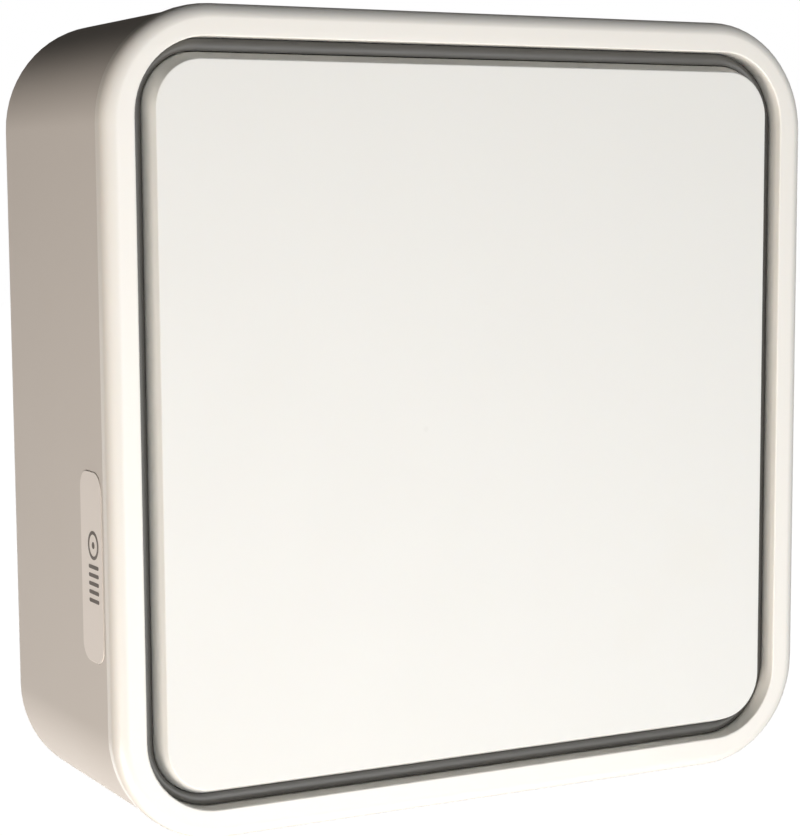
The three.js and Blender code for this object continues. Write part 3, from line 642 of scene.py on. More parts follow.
def box_mesh(low, high, radius=0.0, into=None):
    """A block between two corners, with its front-to-back edges rounded."""
    width = high[0] - low[0]
    height = high[2] - low[2]
    centre = ((low[0] + high[0]) / 2, (low[2] + high[2]) / 2)
    radius = max(radius, SHARP)
    loops = [rounded_loop(width, height, radius, y, centre, 3) for y in (low[1], high[1])]
    return capped(loops, into)


# ---------------------------------------------------------------- geometry node trees

def geometry_tree(name, inputs):
    """A new geometry tree with these (name, socket type, default) inputs after its geometry."""
    tree = bpy.data.node_groups.new(name, "GeometryNodeTree")
    tree.interface.new_socket("Geometry", in_out="INPUT", socket_type="NodeSocketGeometry")
    for label, kind, default in inputs:
        socket = tree.interface.new_socket(label, in_out="INPUT", socket_type=kind)
        if default is not None:
            socket.default_value = default
    tree.interface.new_socket("Geometry", in_out="OUTPUT", socket_type="NodeSocketGeometry")
    graph = Graph(tree)
    return graph, graph.add("NodeGroupInput"), graph.add("NodeGroupOutput")


def end_tree(graph, given, out, geometry):
    """Ends a tree in real geometry with its material."""
    real = graph.add("GeometryNodeRealizeInstances", {"Geometry": geometry})
    painted = graph.add("GeometryNodeSetMaterial", {
        "Geometry": real.outputs[0], "Material": given.outputs["Material"]})
    graph.feed(out.inputs[0], painted.outputs[0])
    return graph.tree


MATERIAL = ("Material", "NodeSocketMaterial", None)
STAND_UP = (math.radians(90), 0.0, 0.0)


def copies_on_rectangle():
    """Copies of the given geometry on the four corners of an upright rectangle."""
    graph, given, out = geometry_tree("Copies on a rectangle", [
        ("Width", FLOAT, 0.1), ("Height", FLOAT, 0.1), ("Centre", VECTOR, (0, 0, 0)),
        ("Spin", VECTOR, (0, 0, 0)), MATERIAL])
    corners = graph.add("GeometryNodeCurvePrimitiveQuadrilateral", {
        "Width": given.outputs["Width"], "Height": given.outputs["Height"]})
    upright = graph.add("GeometryNodeTransform", {
        "Geometry": corners.outputs[0], "Rotation": STAND_UP, "Translation": given.outputs["Centre"]})
    points = graph.add("GeometryNodeCurveToPoints", {"Curve": upright.outputs[0]}, mode="EVALUATED")
    spread = graph.add("GeometryNodeInstanceOnPoints", {
        "Points": points.outputs[0], "Instance": given.outputs["Geometry"],
        "Rotation": given.outputs["Spin"]})
    return end_tree(graph, given, out, spread.outputs[0])


def copies_in_row():
    """Copies of the given geometry at equal steps from a start."""
    graph, given, out = geometry_tree("Copies in a row", [
        ("Count", "NodeSocketInt", 4), ("Start", VECTOR, (0, 0, 0)), ("Step", VECTOR, (0.01, 0, 0)),
        MATERIAL])
    line = graph.add("GeometryNodeMeshLine", {
        "Count": given.outputs["Count"], "Start Location": given.outputs["Start"],
        "Offset": given.outputs["Step"]}, mode="OFFSET")
    spread = graph.add("GeometryNodeInstanceOnPoints", {
        "Points": line.outputs[0], "Instance": given.outputs["Geometry"]})
    return end_tree(graph, given, out, spread.outputs[0])


def lead_on_route():
    """A round lead along the given line of edges, closed at both ends."""
    graph, given, out = geometry_tree("Lead on its route", [("Radius", FLOAT, 0.001), MATERIAL])
    route = graph.add("GeometryNodeMeshToCurve", {"Mesh": given.outputs["Geometry"]})
    section = graph.add("GeometryNodeCurvePrimitiveCircle", {
        "Resolution": 16, "Radius": given.outputs["Radius"]}, mode="RADIUS")
    swept = graph.add("GeometryNodeCurveToMesh", {
        "Curve": route.outputs[0], "Profile Curve": section.outputs[0], "Fill Caps": True})
    return end_tree(graph, given, out, swept.outputs[0])


def scattered_parts():
    """Copies of the given small part strewn over an upright area, each turned by quarter turns."""
    graph, given, out = geometry_tree("Small parts on a board", [
        ("Width", FLOAT, 0.1), ("Height", FLOAT, 0.03), ("Centre", VECTOR, (0, 0, 0)),
        ("Spacing", FLOAT, 0.004), ("Seed", "NodeSocketInt", 3), MATERIAL])
    area = graph.add("GeometryNodeMeshGrid", {
        "Size X": given.outputs["Width"], "Size Y": given.outputs["Height"], "Vertices X": 2,
        "Vertices Y": 2})
    points = graph.add("GeometryNodeDistributePointsOnFaces", {
        "Mesh": area.outputs[0], "Distance Min": given.outputs["Spacing"], "Density Max": 90000.0,
        "Seed": given.outputs["Seed"]}, distribute_method="POISSON")
    upright = graph.add("GeometryNodeTransform", {
        "Geometry": points.outputs[0], "Rotation": STAND_UP, "Translation": given.outputs["Centre"]})
    quarters = graph.add("FunctionNodeRandomValue", {
        4: 0, 5: 1, "Seed": given.outputs["Seed"]}, data_type="INT")
    angle = graph.maths("MULTIPLY", quarters.outputs[2], math.radians(90))
    turn = graph.add("ShaderNodeCombineXYZ", {1: angle})
    spread = graph.add("GeometryNodeInstanceOnPoints", {
        "Points": upright.outputs[0], "Instance": given.outputs["Geometry"], "Rotation": turn.outputs[0]})
    return end_tree(graph, given, out, spread.outputs[0])


TREE_MAKERS = {
    "Copies on a rectangle": copies_on_rectangle,
    "Copies in a row": copies_in_row,
    "Lead on its route": lead_on_route,
    "Small parts on a board": scattered_parts,
}


def grow(thing, tree_name, slot, values):
    """Runs a geometry tree on an object with these inputs, and leaves the plain mesh."""
    tree = bpy.data.node_groups.get(tree_name) or TREE_MAKERS[tree_name]()
    modifier = thing.modifiers.new(tree_name, "NODES")
    modifier.node_group = tree
    sockets = {item.name: item.identifier for item in tree.interface.items_tree
               if item.in_out == "INPUT" and item.socket_type != "NodeSocketGeometry"}
    for name, value in {**values, "Material": finish(slot)}.items():
        modifier[sockets[name]] = value
    bake_modifiers(thing)
    smooth(thing.data)
    return thing


# ---------------------------------------------------------------- bezel, panel and light ring

def square_rows(rows, **caps):
    """A skin through rounded squares, from (half width, corner radius, depth) rows."""
    return skin([square_loop(2 * half, radius, y) for half, radius, y in rows], **caps)


def quarter_round(half, radius, depth, size, inward=1, steps=7):
    """Rows of a rounded edge that begins on the wall at this half width, 'size' behind 'depth', and ends
    on the face at 'depth'. The face lies inside the wall where inward is 1 and outside it where it is -1."""
    rows = []
    for step in range(steps + 1):
        angle = math.radians(90 * step / steps)
        inset = inward * size * (1 - math.cos(angle))
        rows.append((half - inset, radius - inset, depth + size * (1 - math.sin(angle))))
    return rows


class MakeBezel(bpy.types.Operator):
    """Bezel: a rounded frame round the groove, with a skirt that plugs into the shell"""
    bl_idname = "access_point.bezel"
    bl_label = "Bezel"

    SEAM = 0.05 * MM
    SKIRT_IN = 3.5 * MM
    LEDGE_OUT = 1.9 * MM
    LEDGE_DEPTH = 7.8 * MM

    def execute(self, context):
        shape = context.scene.access_point_shape
        half = WIDTH / 2
        radius = shape.corner_radius
        opening = shape.groove_width / 2
        opening_radius = shape.groove_radius
        back = SHELL_FRONT - self.SEAM
        skirt_back = BEZEL_HIGH.y
        ledge = FRONT + self.LEDGE_DEPTH
        small = shape.edge_round
        skirt = half - self.SKIRT_IN
        skirt_radius = radius - self.SKIRT_IN
        hollow = opening + self.LEDGE_OUT
        hollow_radius = opening_radius + self.LEDGE_OUT * CORNER_GROWTH
        lip = quarter_round(opening, opening_radius, FRONT, shape.groove_lip, inward=-1)
        shoulder = quarter_round(half, radius, FRONT, shape.bezel_fillet, steps=12)[::-1]
        rows = [
            (opening, opening_radius, ledge), *lip, *shoulder,
            (half, radius, back - small), (half - small, radius - small, back), (skirt, skirt_radius, back),
            (skirt, skirt_radius, skirt_back - small), (skirt - small, skirt_radius - small, skirt_back),
            (hollow + small, hollow_radius + small, skirt_back), (hollow, hollow_radius, skirt_back - small),
            (hollow, hollow_radius, ledge)]
        bezel = finished(square_rows(rows, closed=True), "bezel_skin")
        settle(bezel, "bezel_plastic", "unit", "front_bezel")
        return {"FINISHED"}


class MakePanel(bpy.types.Operator):
    """Centre panel: a drafted pan with a softened front edge and four bosses behind it"""
    bl_idname = "access_point.panel"
    bl_label = "Centre panel"

    RIM = 2 * MM
    THICKNESS = 3 * MM
    RIM_DEPTH = 11.5 * MM
    BOSS_AT = 70 * MM
    BOSS_EDGE = 0.4 * MM

    def execute(self, context):
        shape = context.scene.access_point_shape
        foot = PANEL_WIDTH / 2
        half = foot - shape.panel_draft
        radius = shape.panel_radius
        foot_radius = radius + shape.panel_draft
        lip = quarter_round(half, radius, FRONT, shape.panel_lip, steps=8)[::-1]
        rim_back = FRONT + self.RIM_DEPTH
        inside = foot - self.RIM
        inside_radius = foot_radius - self.RIM
        rows = [
            *lip, (foot, foot_radius, FRONT + shape.groove_depth), (foot, foot_radius, rim_back),
            (inside, inside_radius, rim_back), (inside, inside_radius, FRONT + self.THICKNESS)]
        panel = finished(square_rows(rows, cap_first=True, cap_last=True), "panel_skin", weighted=False)
        bosses = bmesh.new()
        profile = [
            (BOSS_RADIUS, FRONT + self.THICKNESS - PAST), (BOSS_RADIUS, PANEL_HIGH.y - self.BOSS_EDGE),
            (BOSS_RADIUS - self.BOSS_EDGE, PANEL_HIGH.y)]
        for x in (-self.BOSS_AT, self.BOSS_AT):
            for z in (-self.BOSS_AT, self.BOSS_AT):
                turned(profile, (x, z), into=bosses)
        carve(panel, bosses, "UNION")
        even_normals(panel)
        settle(panel, "panel_plastic", "unit", "centre_panel")
        return {"FINISHED"}


class MakeLightRing(bpy.types.Operator):
    """Light ring: a smoke-grey diffuser with a low crown, on the groove's floor, its colour darkened past
    its own grey as painted shade
    """
    bl_idname = "access_point.light_ring"
    bl_label = "Light ring"

    CROWN = 0.35 * MM
    FLANGE = 1.5 * MM
    STEPS = 8

    def execute(self, context):
        shape = context.scene.access_point_shape
        gap = shape.edge_round
        outer = shape.groove_width / 2 - gap
        outer_radius = shape.groove_radius - gap
        inner = PANEL_WIDTH / 2 + gap
        inner_radius = shape.panel_radius + shape.panel_draft + gap
        back = RING_HIGH.y
        flange = RING_HIGH.x
        flange_radius = outer_radius + (flange - outer) * CORNER_GROWTH
        crown = []
        for step in range(self.STEPS + 1):
            across = step / self.STEPS
            drop = self.CROWN * (2 * across - 1) ** 2
            half = inner + (outer - inner) * across
            crown.append((half, inner_radius + (outer_radius - inner_radius) * across, RING_LOW.y + drop))
        rows = [
            (inner, inner_radius, back), *crown, (outer, outer_radius, back - self.FLANGE),
            (flange, flange_radius, back - self.FLANGE), (flange, flange_radius, back)]
        ring = finished(square_rows(rows, closed=True), "light_ring_skin")
        settle(ring, "smoke_diffuser", "unit", "light_ring")
        return {"FINISHED"}


# ---------------------------------------------------------------- shell, plaque and back plate

def side_solid(width, height, radius, outside, inside, centre, edge=0.0, into=None, steps=12):
    """A rounded plate that lies in the left wall: width along Y, height along Z, between two X places."""
    rows = [(0.0, outside)]
    if edge:
        rows = [(edge, outside), (edge * 0.3, outside + edge * 0.3), (0.0, outside + edge)]
    rows.append((0.0, inside))
    loops = []
    for inset, x in rows:
        corner = max(radius - inset, SHARP)
        flat = rounded_loop(width - 2 * inset, height - 2 * inset, corner, 0, steps=steps)
        loops.append([Vector((x, centre[0] + point.x, centre[1] + point.z)) for point in flat])
    return capped(loops, into)


def plaque_place():
    """The plaque's width, height and centre in the left wall."""
    low, high = LABEL_LOW, LABEL_HIGH
    return high.y - low.y, high.z - low.z, ((low.y + high.y) / 2, (low.z + high.z) / 2)


class MakeShell(bpy.types.Operator):
    """Housing shell: the deep square wall with a rounded rear edge, screw bosses and the plaque's pocket"""
    bl_idname = "access_point.shell"
    bl_label = "Housing shell"

    WALL = 2.7 * MM
    RIM_HALF = 91 * MM
    RIM_RADIUS = 18 * MM
    RIM_DEPTH = 7 * MM
    REAR_STEPS = 10
    BOSS_FRONT = -42 * MM
    BOSS_GAP = 0.3 * MM
    RIB = 2.4 * MM
    RIB_OUT = 2 * MM
    PILOT_RADIUS = 1.8 * MM
    PILOT_DEPTH = 12 * MM
    POCKET_GAP = 0.09 * MM
    POCKET_DEPTH = 0.8 * MM

    def execute(self, context):
        shape = context.scene.access_point_shape
        half = SHELL_WIDTH / 2
        radius = shape.corner_radius - (WIDTH - SHELL_WIDTH) / 2
        small = shape.edge_round
        cavity = half - self.WALL
        cavity_radius = radius - self.WALL
        rim_front = SHELL_BACK - self.RIM_DEPTH
        rear = []
        for step in range(self.REAR_STEPS + 1):
            angle = math.radians(90 * step / self.REAR_STEPS)
            inset = shape.rear_round * (1 - math.cos(angle))
            depth = SHELL_BACK - shape.rear_round * (1 - math.sin(angle))
            rear.append((half - inset, radius - inset, depth))
        rim = self.RIM_HALF
        rim_radius = self.RIM_RADIUS
        rows = [
            (cavity, cavity_radius, SHELL_FRONT), (half - small, radius - small, SHELL_FRONT),
            (half, radius, SHELL_FRONT + small), *rear, (rim + small, rim_radius + small, SHELL_BACK),
            (rim, rim_radius, SHELL_BACK - small), (rim, rim_radius, rim_front),
            (cavity, cavity_radius, rim_front)]
        shell = finished(square_rows(rows, closed=True), "shell_skin", weighted=False)
        carve(shell, self.bosses(cavity), "UNION")
        cuts = self.pilots()
        width, height, centre = plaque_place()
        spare = 2 * self.POCKET_GAP
        side_solid(
            width + spare, height + spare, shape.plaque_radius + self.POCKET_GAP, SHELL_LOW.x - PAST,
            SHELL_LOW.x + self.POCKET_DEPTH, centre, into=cuts)
        carve(shell, cuts)
        even_normals(shell)
        settle(shell, "shell_plastic", "unit", "housing_shell")
        return {"FINISHED"}

    def bosses(self, cavity):
        """The four screw bosses, each on a rib that joins it to the wall."""
        made = bmesh.new()
        back = PLATE_FRONT - self.BOSS_GAP
        for across, up in CORNERS:
            x = across * BOSSES_X
            z = up * BOSSES_Z
            turned([(BOSS_RADIUS, self.BOSS_FRONT), (BOSS_RADIUS, back)], (x, z), into=made)
        ribs = bmesh.new()
        for across, up in CORNERS:
            ends = sorted((across * (BOSSES_X + self.RIB_OUT), across * (cavity + PAST)))
            z = up * BOSSES_Z
            box_mesh(
                (ends[0], self.BOSS_FRONT + PAST, z - self.RIB / 2),
                (ends[1], back - PAST, z + self.RIB / 2), into=ribs)
        holder = finished(made, "bosses", weighted=False)
        carve(holder, ribs, "UNION")
        whole = bmesh.new()
        whole.from_mesh(holder.data)
        bpy.data.objects.remove(holder)
        return whole

    def pilots(self):
        """The holes that the screws cut their threads in."""
        made = bmesh.new()
        profile = [(self.PILOT_RADIUS, PLATE_FRONT - self.PILOT_DEPTH), (self.PILOT_RADIUS, SHELL_BACK)]
        for across, up in CORNERS:
            turned(profile, (across * BOSSES_X, up * BOSSES_Z), into=made)
        return made


class MakePlaque(bpy.types.Operator):
    """Side plaque: a low pad in the left wall with a plain printed mark of a ring over short bars"""
    bl_idname = "access_point.plaque"
    bl_label = "Side plaque"

    PROUD = 0.22 * MM
    EDGE = 0.18 * MM
    INK = 0.04 * MM
    MARK_BEHIND_FRONT = 13.6 * MM
    MARK_TOP = -23.8 * MM
    RING_RADIUS = 3.5 * MM
    RING_LINE = 0.85 * MM
    BAR_LENGTH = 6.6 * MM
    BAR_WIDTH = 0.95 * MM
    BAR_STEP = 2.05 * MM
    BARS = 5
    BARS_BELOW_RING = 1.75 * MM

    def execute(self, context):
        width, height, centre = plaque_place()
        face = LABEL_LOW.x - self.PROUD
        corner = context.scene.access_point_shape.plaque_radius
        pad = finished(
            side_solid(width, height, corner, face, LABEL_HIGH.x, centre, edge=self.EDGE, steps=12),
            "plaque_skin")
        settle(pad, "plaque_plastic", "unit", "side_label")
        y = FRONT + self.MARK_BEHIND_FRONT
        ring_z = self.MARK_TOP - self.RING_RADIUS
        mark = bmesh.new()
        outer = self.RING_RADIUS
        inner = outer - self.RING_LINE
        top = face - self.INK
        root = face + self.INK
        loops = []
        for radius, x in ((outer, top), (outer, root), (inner, root), (inner, top)):
            flat = round_loop(radius, 0, sides=48)
            loops.append([Vector((x, y + point.x, ring_z + point.z)) for point in flat])
        skin(loops, closed=True, into=mark)
        dot = 2 * self.RING_LINE
        side_solid(dot, dot, dot / 2 - SHARP, top, root, (y, ring_z), into=mark, steps=6)
        first = ring_z - outer - self.BARS_BELOW_RING
        for i in range(self.BARS):
            side_solid(
                self.BAR_LENGTH, self.BAR_WIDTH, self.BAR_WIDTH / 2 - SHARP, top, root,
                (y, first - i * self.BAR_STEP), into=mark, steps=6)
        printed = finished(mark, "plaque_mark", weighted=False)
        printed.data.materials.append(finish("mark_print"))
        settle(printed, "plaque_plastic", "unit")
        return {"FINISHED"}


def arc(centre, radius, start, end, steps):
    """Points of an arc in the XZ plane, with its angles in degrees."""
    points = []
    for step in range(steps + 1):
        angle = math.radians(start + (end - start) * step / steps)
        x = centre[0] + radius * math.cos(angle)
        points.append(Vector((x, 0, centre[1] + radius * math.sin(angle))))
    return points


class MakeBackPlate(bpy.types.Operator):
    """Back plate: vents, keyholes, catch slot and the sunken port bay"""
    bl_idname = "access_point.back_plate"
    bl_label = "Back plate"

    # VENT_STEP, LOWER_VENTS_X, BAY_FLOOR and POSTS are in millimetres
    EDGE = 0.3 * MM
    CORNER = 24.5 * MM
    VENT = 2.6 * MM
    VENT_STEP = 6
    UPPER_VENTS = 11
    UPPER_VENT_LENGTH = 40 * MM
    UPPER_VENTS_Z = 30 * MM
    LOWER_VENTS = 4
    LOWER_VENT_LENGTH = 24 * MM
    LOWER_VENTS_X = 62
    LOWER_VENTS_Z = -66 * MM
    KEY_SLOT = 2.6 * MM
    KEY_ENTRY = 4.9 * MM
    SCREW_HOLE = 1.9 * MM
    CATCH_WIDTH = 12 * MM
    CATCH_HEIGHT = 6 * MM
    CATCH_Z = 70 * MM
    BAY_LOW = Vector((-31 * MM, -36 * MM, -82 * MM))
    BAY_HIGH = Vector((31 * MM, 0, -38 * MM))
    BAY_WALL = 2 * MM
    BAY_CORNER = 1.5 * MM
    BAY_IN = 0.15 * MM
    # Narrowing, corner radius and rise of each step of the bay's rounded floor
    BAY_FLOOR = ((2.4, 0.6, 0.0), (0.7, 1.2, 0.3), (0.0, 1.5, 1.2))
    JACK_GAP = 0.3 * MM
    BUTTON_HOLE = 1.9 * MM
    POSTS = ((-72, 72), (72, 72), (72, -26), (-72, -26))
    POST_RADIUS = 3.5 * MM
    POST_GAP = 0.3 * MM
    POST_HOLE = 1.45 * MM
    POST_HOLE_DEPTH = 9 * MM

    def execute(self, context):
        half = PLATE_WIDTH / 2
        outline = square_loop(2 * (half - self.EDGE), self.CORNER - self.EDGE, 0)
        mesh = plate("back_plate", outline, self.holes(), PLATE_FRONT, PLATE_BACK, self.EDGE)
        thing = finished(mesh, "back_plate_skin", weighted=False)
        carve(thing, self.tray_and_posts(), "UNION")
        carve(thing, self.cuts())
        even_normals(thing)
        settle(thing, "shell_plastic", "unit", "back_plate")
        return {"FINISHED"}

    def hole(self, width, height, radius, x, z):
        """A rounded hole, widened by the rounding of its edge."""
        grow_by = 2 * self.EDGE
        return rounded_loop(width + grow_by, height + grow_by, radius + self.EDGE, 0, (x, z), 6)

    def keyhole(self, x, z):
        """A narrow seat for the stud's shank above a round entry for its head."""
        slot = self.KEY_SLOT + self.EDGE
        entry = self.KEY_ENTRY + self.EDGE
        lean = math.degrees(math.asin(slot / entry))
        return arc((x, z), slot, 0, 180, 12) + arc((x, z - LIFT), entry, 90 + lean, 450 - lean, 28)

    def holes(self):
        end = self.VENT / 2 - SHARP
        vents = []
        for i in range(self.UPPER_VENTS):
            x = (i - self.UPPER_VENTS // 2) * self.VENT_STEP * MM
            vents.append(self.hole(self.VENT, self.UPPER_VENT_LENGTH, end, x, self.UPPER_VENTS_Z))
        for side in (-1, 1):
            for i in range(self.LOWER_VENTS):
                x = side * (self.LOWER_VENTS_X + self.VENT_STEP * i) * MM
                vents.append(self.hole(self.VENT, self.LOWER_VENT_LENGTH, end, x, self.LOWER_VENTS_Z))
        keys = [self.keyhole(across * STUDS_X, up * STUDS_Z) for across, up in CORNERS]
        screws = [
            round_loop(self.SCREW_HOLE + self.EDGE, 0, (across * BOSSES_X, up * BOSSES_Z), 24)
            for across, up in CORNERS]
        catch = self.hole(self.CATCH_WIDTH, self.CATCH_HEIGHT, 0.8 * MM, 0, self.CATCH_Z)
        size = self.BAY_HIGH - self.BAY_LOW
        bay = self.hole(size.x, size.z, self.BAY_CORNER, 0, (self.BAY_LOW.z + self.BAY_HIGH.z) / 2)
        return [*vents, *keys, *screws, catch, bay]

    def tray_and_posts(self):
        """The bay's five walls as a cup that ends inside the plate, and the posts that carry the board."""
        size = self.BAY_HIGH - self.BAY_LOW
        centre = (0, (self.BAY_LOW.z + self.BAY_HIGH.z) / 2)
        rim = PLATE_FRONT + 1.2 * MM
        floor = self.BAY_LOW.y
        width = size.x + 2 * self.BAY_IN
        height = size.z + 2 * self.BAY_IN
        outer_width = size.x + 2 * self.BAY_WALL
        outer_height = size.z + 2 * self.BAY_WALL
        under = floor - self.BAY_WALL
        rows = [
            (width - narrow * MM, height - narrow * MM, radius * MM, floor + rise * MM)
            for narrow, radius, rise in self.BAY_FLOOR]
        rows += [
            (width, height, self.BAY_CORNER, rim), (outer_width, outer_height, 2.5 * MM, rim),
            (outer_width, outer_height, 2.5 * MM, under + 0.5 * MM),
            (outer_width - 1 * MM, outer_height - 1 * MM, 2 * MM, under)]
        made = capped([rounded_loop(*row, centre, 5) for row in rows])
        board_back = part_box("main_board")[1].y + self.POST_GAP
        profile = [(self.POST_RADIUS, board_back), (self.POST_RADIUS, PLATE_FRONT + 0.5 * MM)]
        for x, z in self.POSTS:
            turned(profile, (x * MM, z * MM), into=made)
        return made

    def cuts(self):
        """Windows for the two jacks, the reset button's hole and the pilot holes in the posts."""
        made = bmesh.new()
        top = self.BAY_HIGH.z
        gap = self.JACK_GAP
        above = top + self.BAY_WALL + PAST
        for name in numbered("ethernet_jack", 2):
            low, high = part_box(name)
            box_mesh(
                (low.x - gap, low.y - gap, top - PAST), (high.x + gap, high.y + gap, above), into=made)
        low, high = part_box("reset_button")
        middle = (low + high) / 2
        reach = self.BAY_WALL + PAST
        hole = turned([(self.BUTTON_HOLE, -reach), (self.BUTTON_HOLE, reach)], (0, 0))
        place = Matrix.Translation((middle.x, middle.y, top + self.BAY_WALL / 2))
        hole.transform(place @ Matrix.Rotation(math.radians(90), 4, "X"))
        join_meshes(made, hole)
        board_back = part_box("main_board")[1].y
        profile = [(self.POST_HOLE, board_back - PAST), (self.POST_HOLE, board_back + self.POST_HOLE_DEPTH)]
        for x, z in self.POSTS:
            turned(profile, (x * MM, z * MM), into=made)
        return made


# ---------------------------------------------------------------- screws

def screw_mesh(head, shank, length_below):
    """A pan-head screw with a cross recess. Its seat is at the origin and its head points to +Y."""
    ridges = []
    pitch = 0.75 * MM
    turns = int((length_below - 1.5 * MM) / pitch)
    for i in range(turns):
        start = -length_below + 0.8 * MM + i * pitch
        ridges += [(shank * 0.78, start), (shank, start + pitch * 0.45)]
    dome = []
    for step in range(7):
        angle = math.radians(15 + 75 * step / 6)
        dome.append((head * math.cos(angle * 0.9), 0.5 * MM + 1.5 * MM * math.sin(angle)))
    profile = [
        (shank * 0.35, -length_below), (shank * 0.75, -length_below + 0.5 * MM), *ridges, (shank, -0.6 * MM),
        (shank, 0), (head, 0), (head, 0.75 * MM), *dome]
    screw = finished(turned(profile, (0, 0), 28), "screw", weighted=False)
    recess = bmesh.new()
    arm = head * 0.52
    across = head * 0.15
    for low, high in (((-arm, -across), (arm, across)), ((-across, -arm), (across, arm))):
        tool = box_mesh((low[0], 0.75 * MM, low[1]), (high[0], 3 * MM, high[1]), 0.05 * MM)
        if recess.verts:
            first = finished(recess, "cross", weighted=False)
            carve(first, tool, "UNION")
            recess = bmesh.new()
            recess.from_mesh(first.data)
            bpy.data.objects.remove(first)
        else:
            recess = tool
    return carve(screw, recess)


class MakeScrews(bpy.types.Operator):
    """Screws: four that hold the back plate and four that hold the board"""
    bl_idname = "access_point.screws"
    bl_label = "Screws"

    def execute(self, context):
        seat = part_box("housing_screw_1")[1].y - 2 * MM
        housing = screw_mesh(3.1 * MM, 1.5 * MM, 10 * MM)
        housing.name = "housing_screws"
        grow(housing, "Copies on a rectangle", "zinc_steel", {
            "Width": 2 * BOSSES_X, "Height": 2 * BOSSES_Z, "Centre": (0, seat, 0), "Spin": (0, 0.5, 0)})
        settle(housing, "zinc_steel", "unit", *numbered("housing_screw"))
        board = screw_mesh(2.6 * MM, 1.2 * MM, 8 * MM)
        board.name = "board_screws"
        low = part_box("board_screw_1")[0].y + 2 * MM
        xs, zs = zip(*[axis_of(name) for name in numbered("board_screw")])
        grow(board, "Copies on a rectangle", "zinc_steel", {
            "Width": max(xs) - min(xs), "Height": max(zs) - min(zs),
            "Centre": (0, low, (max(zs) + min(zs)) / 2), "Spin": (0, 0.9, math.radians(180))})
        settle(board, "zinc_steel", "unit", *numbered("board_screw"))
        return {"FINISHED"}


# ---------------------------------------------------------------- bracket, studs and catch

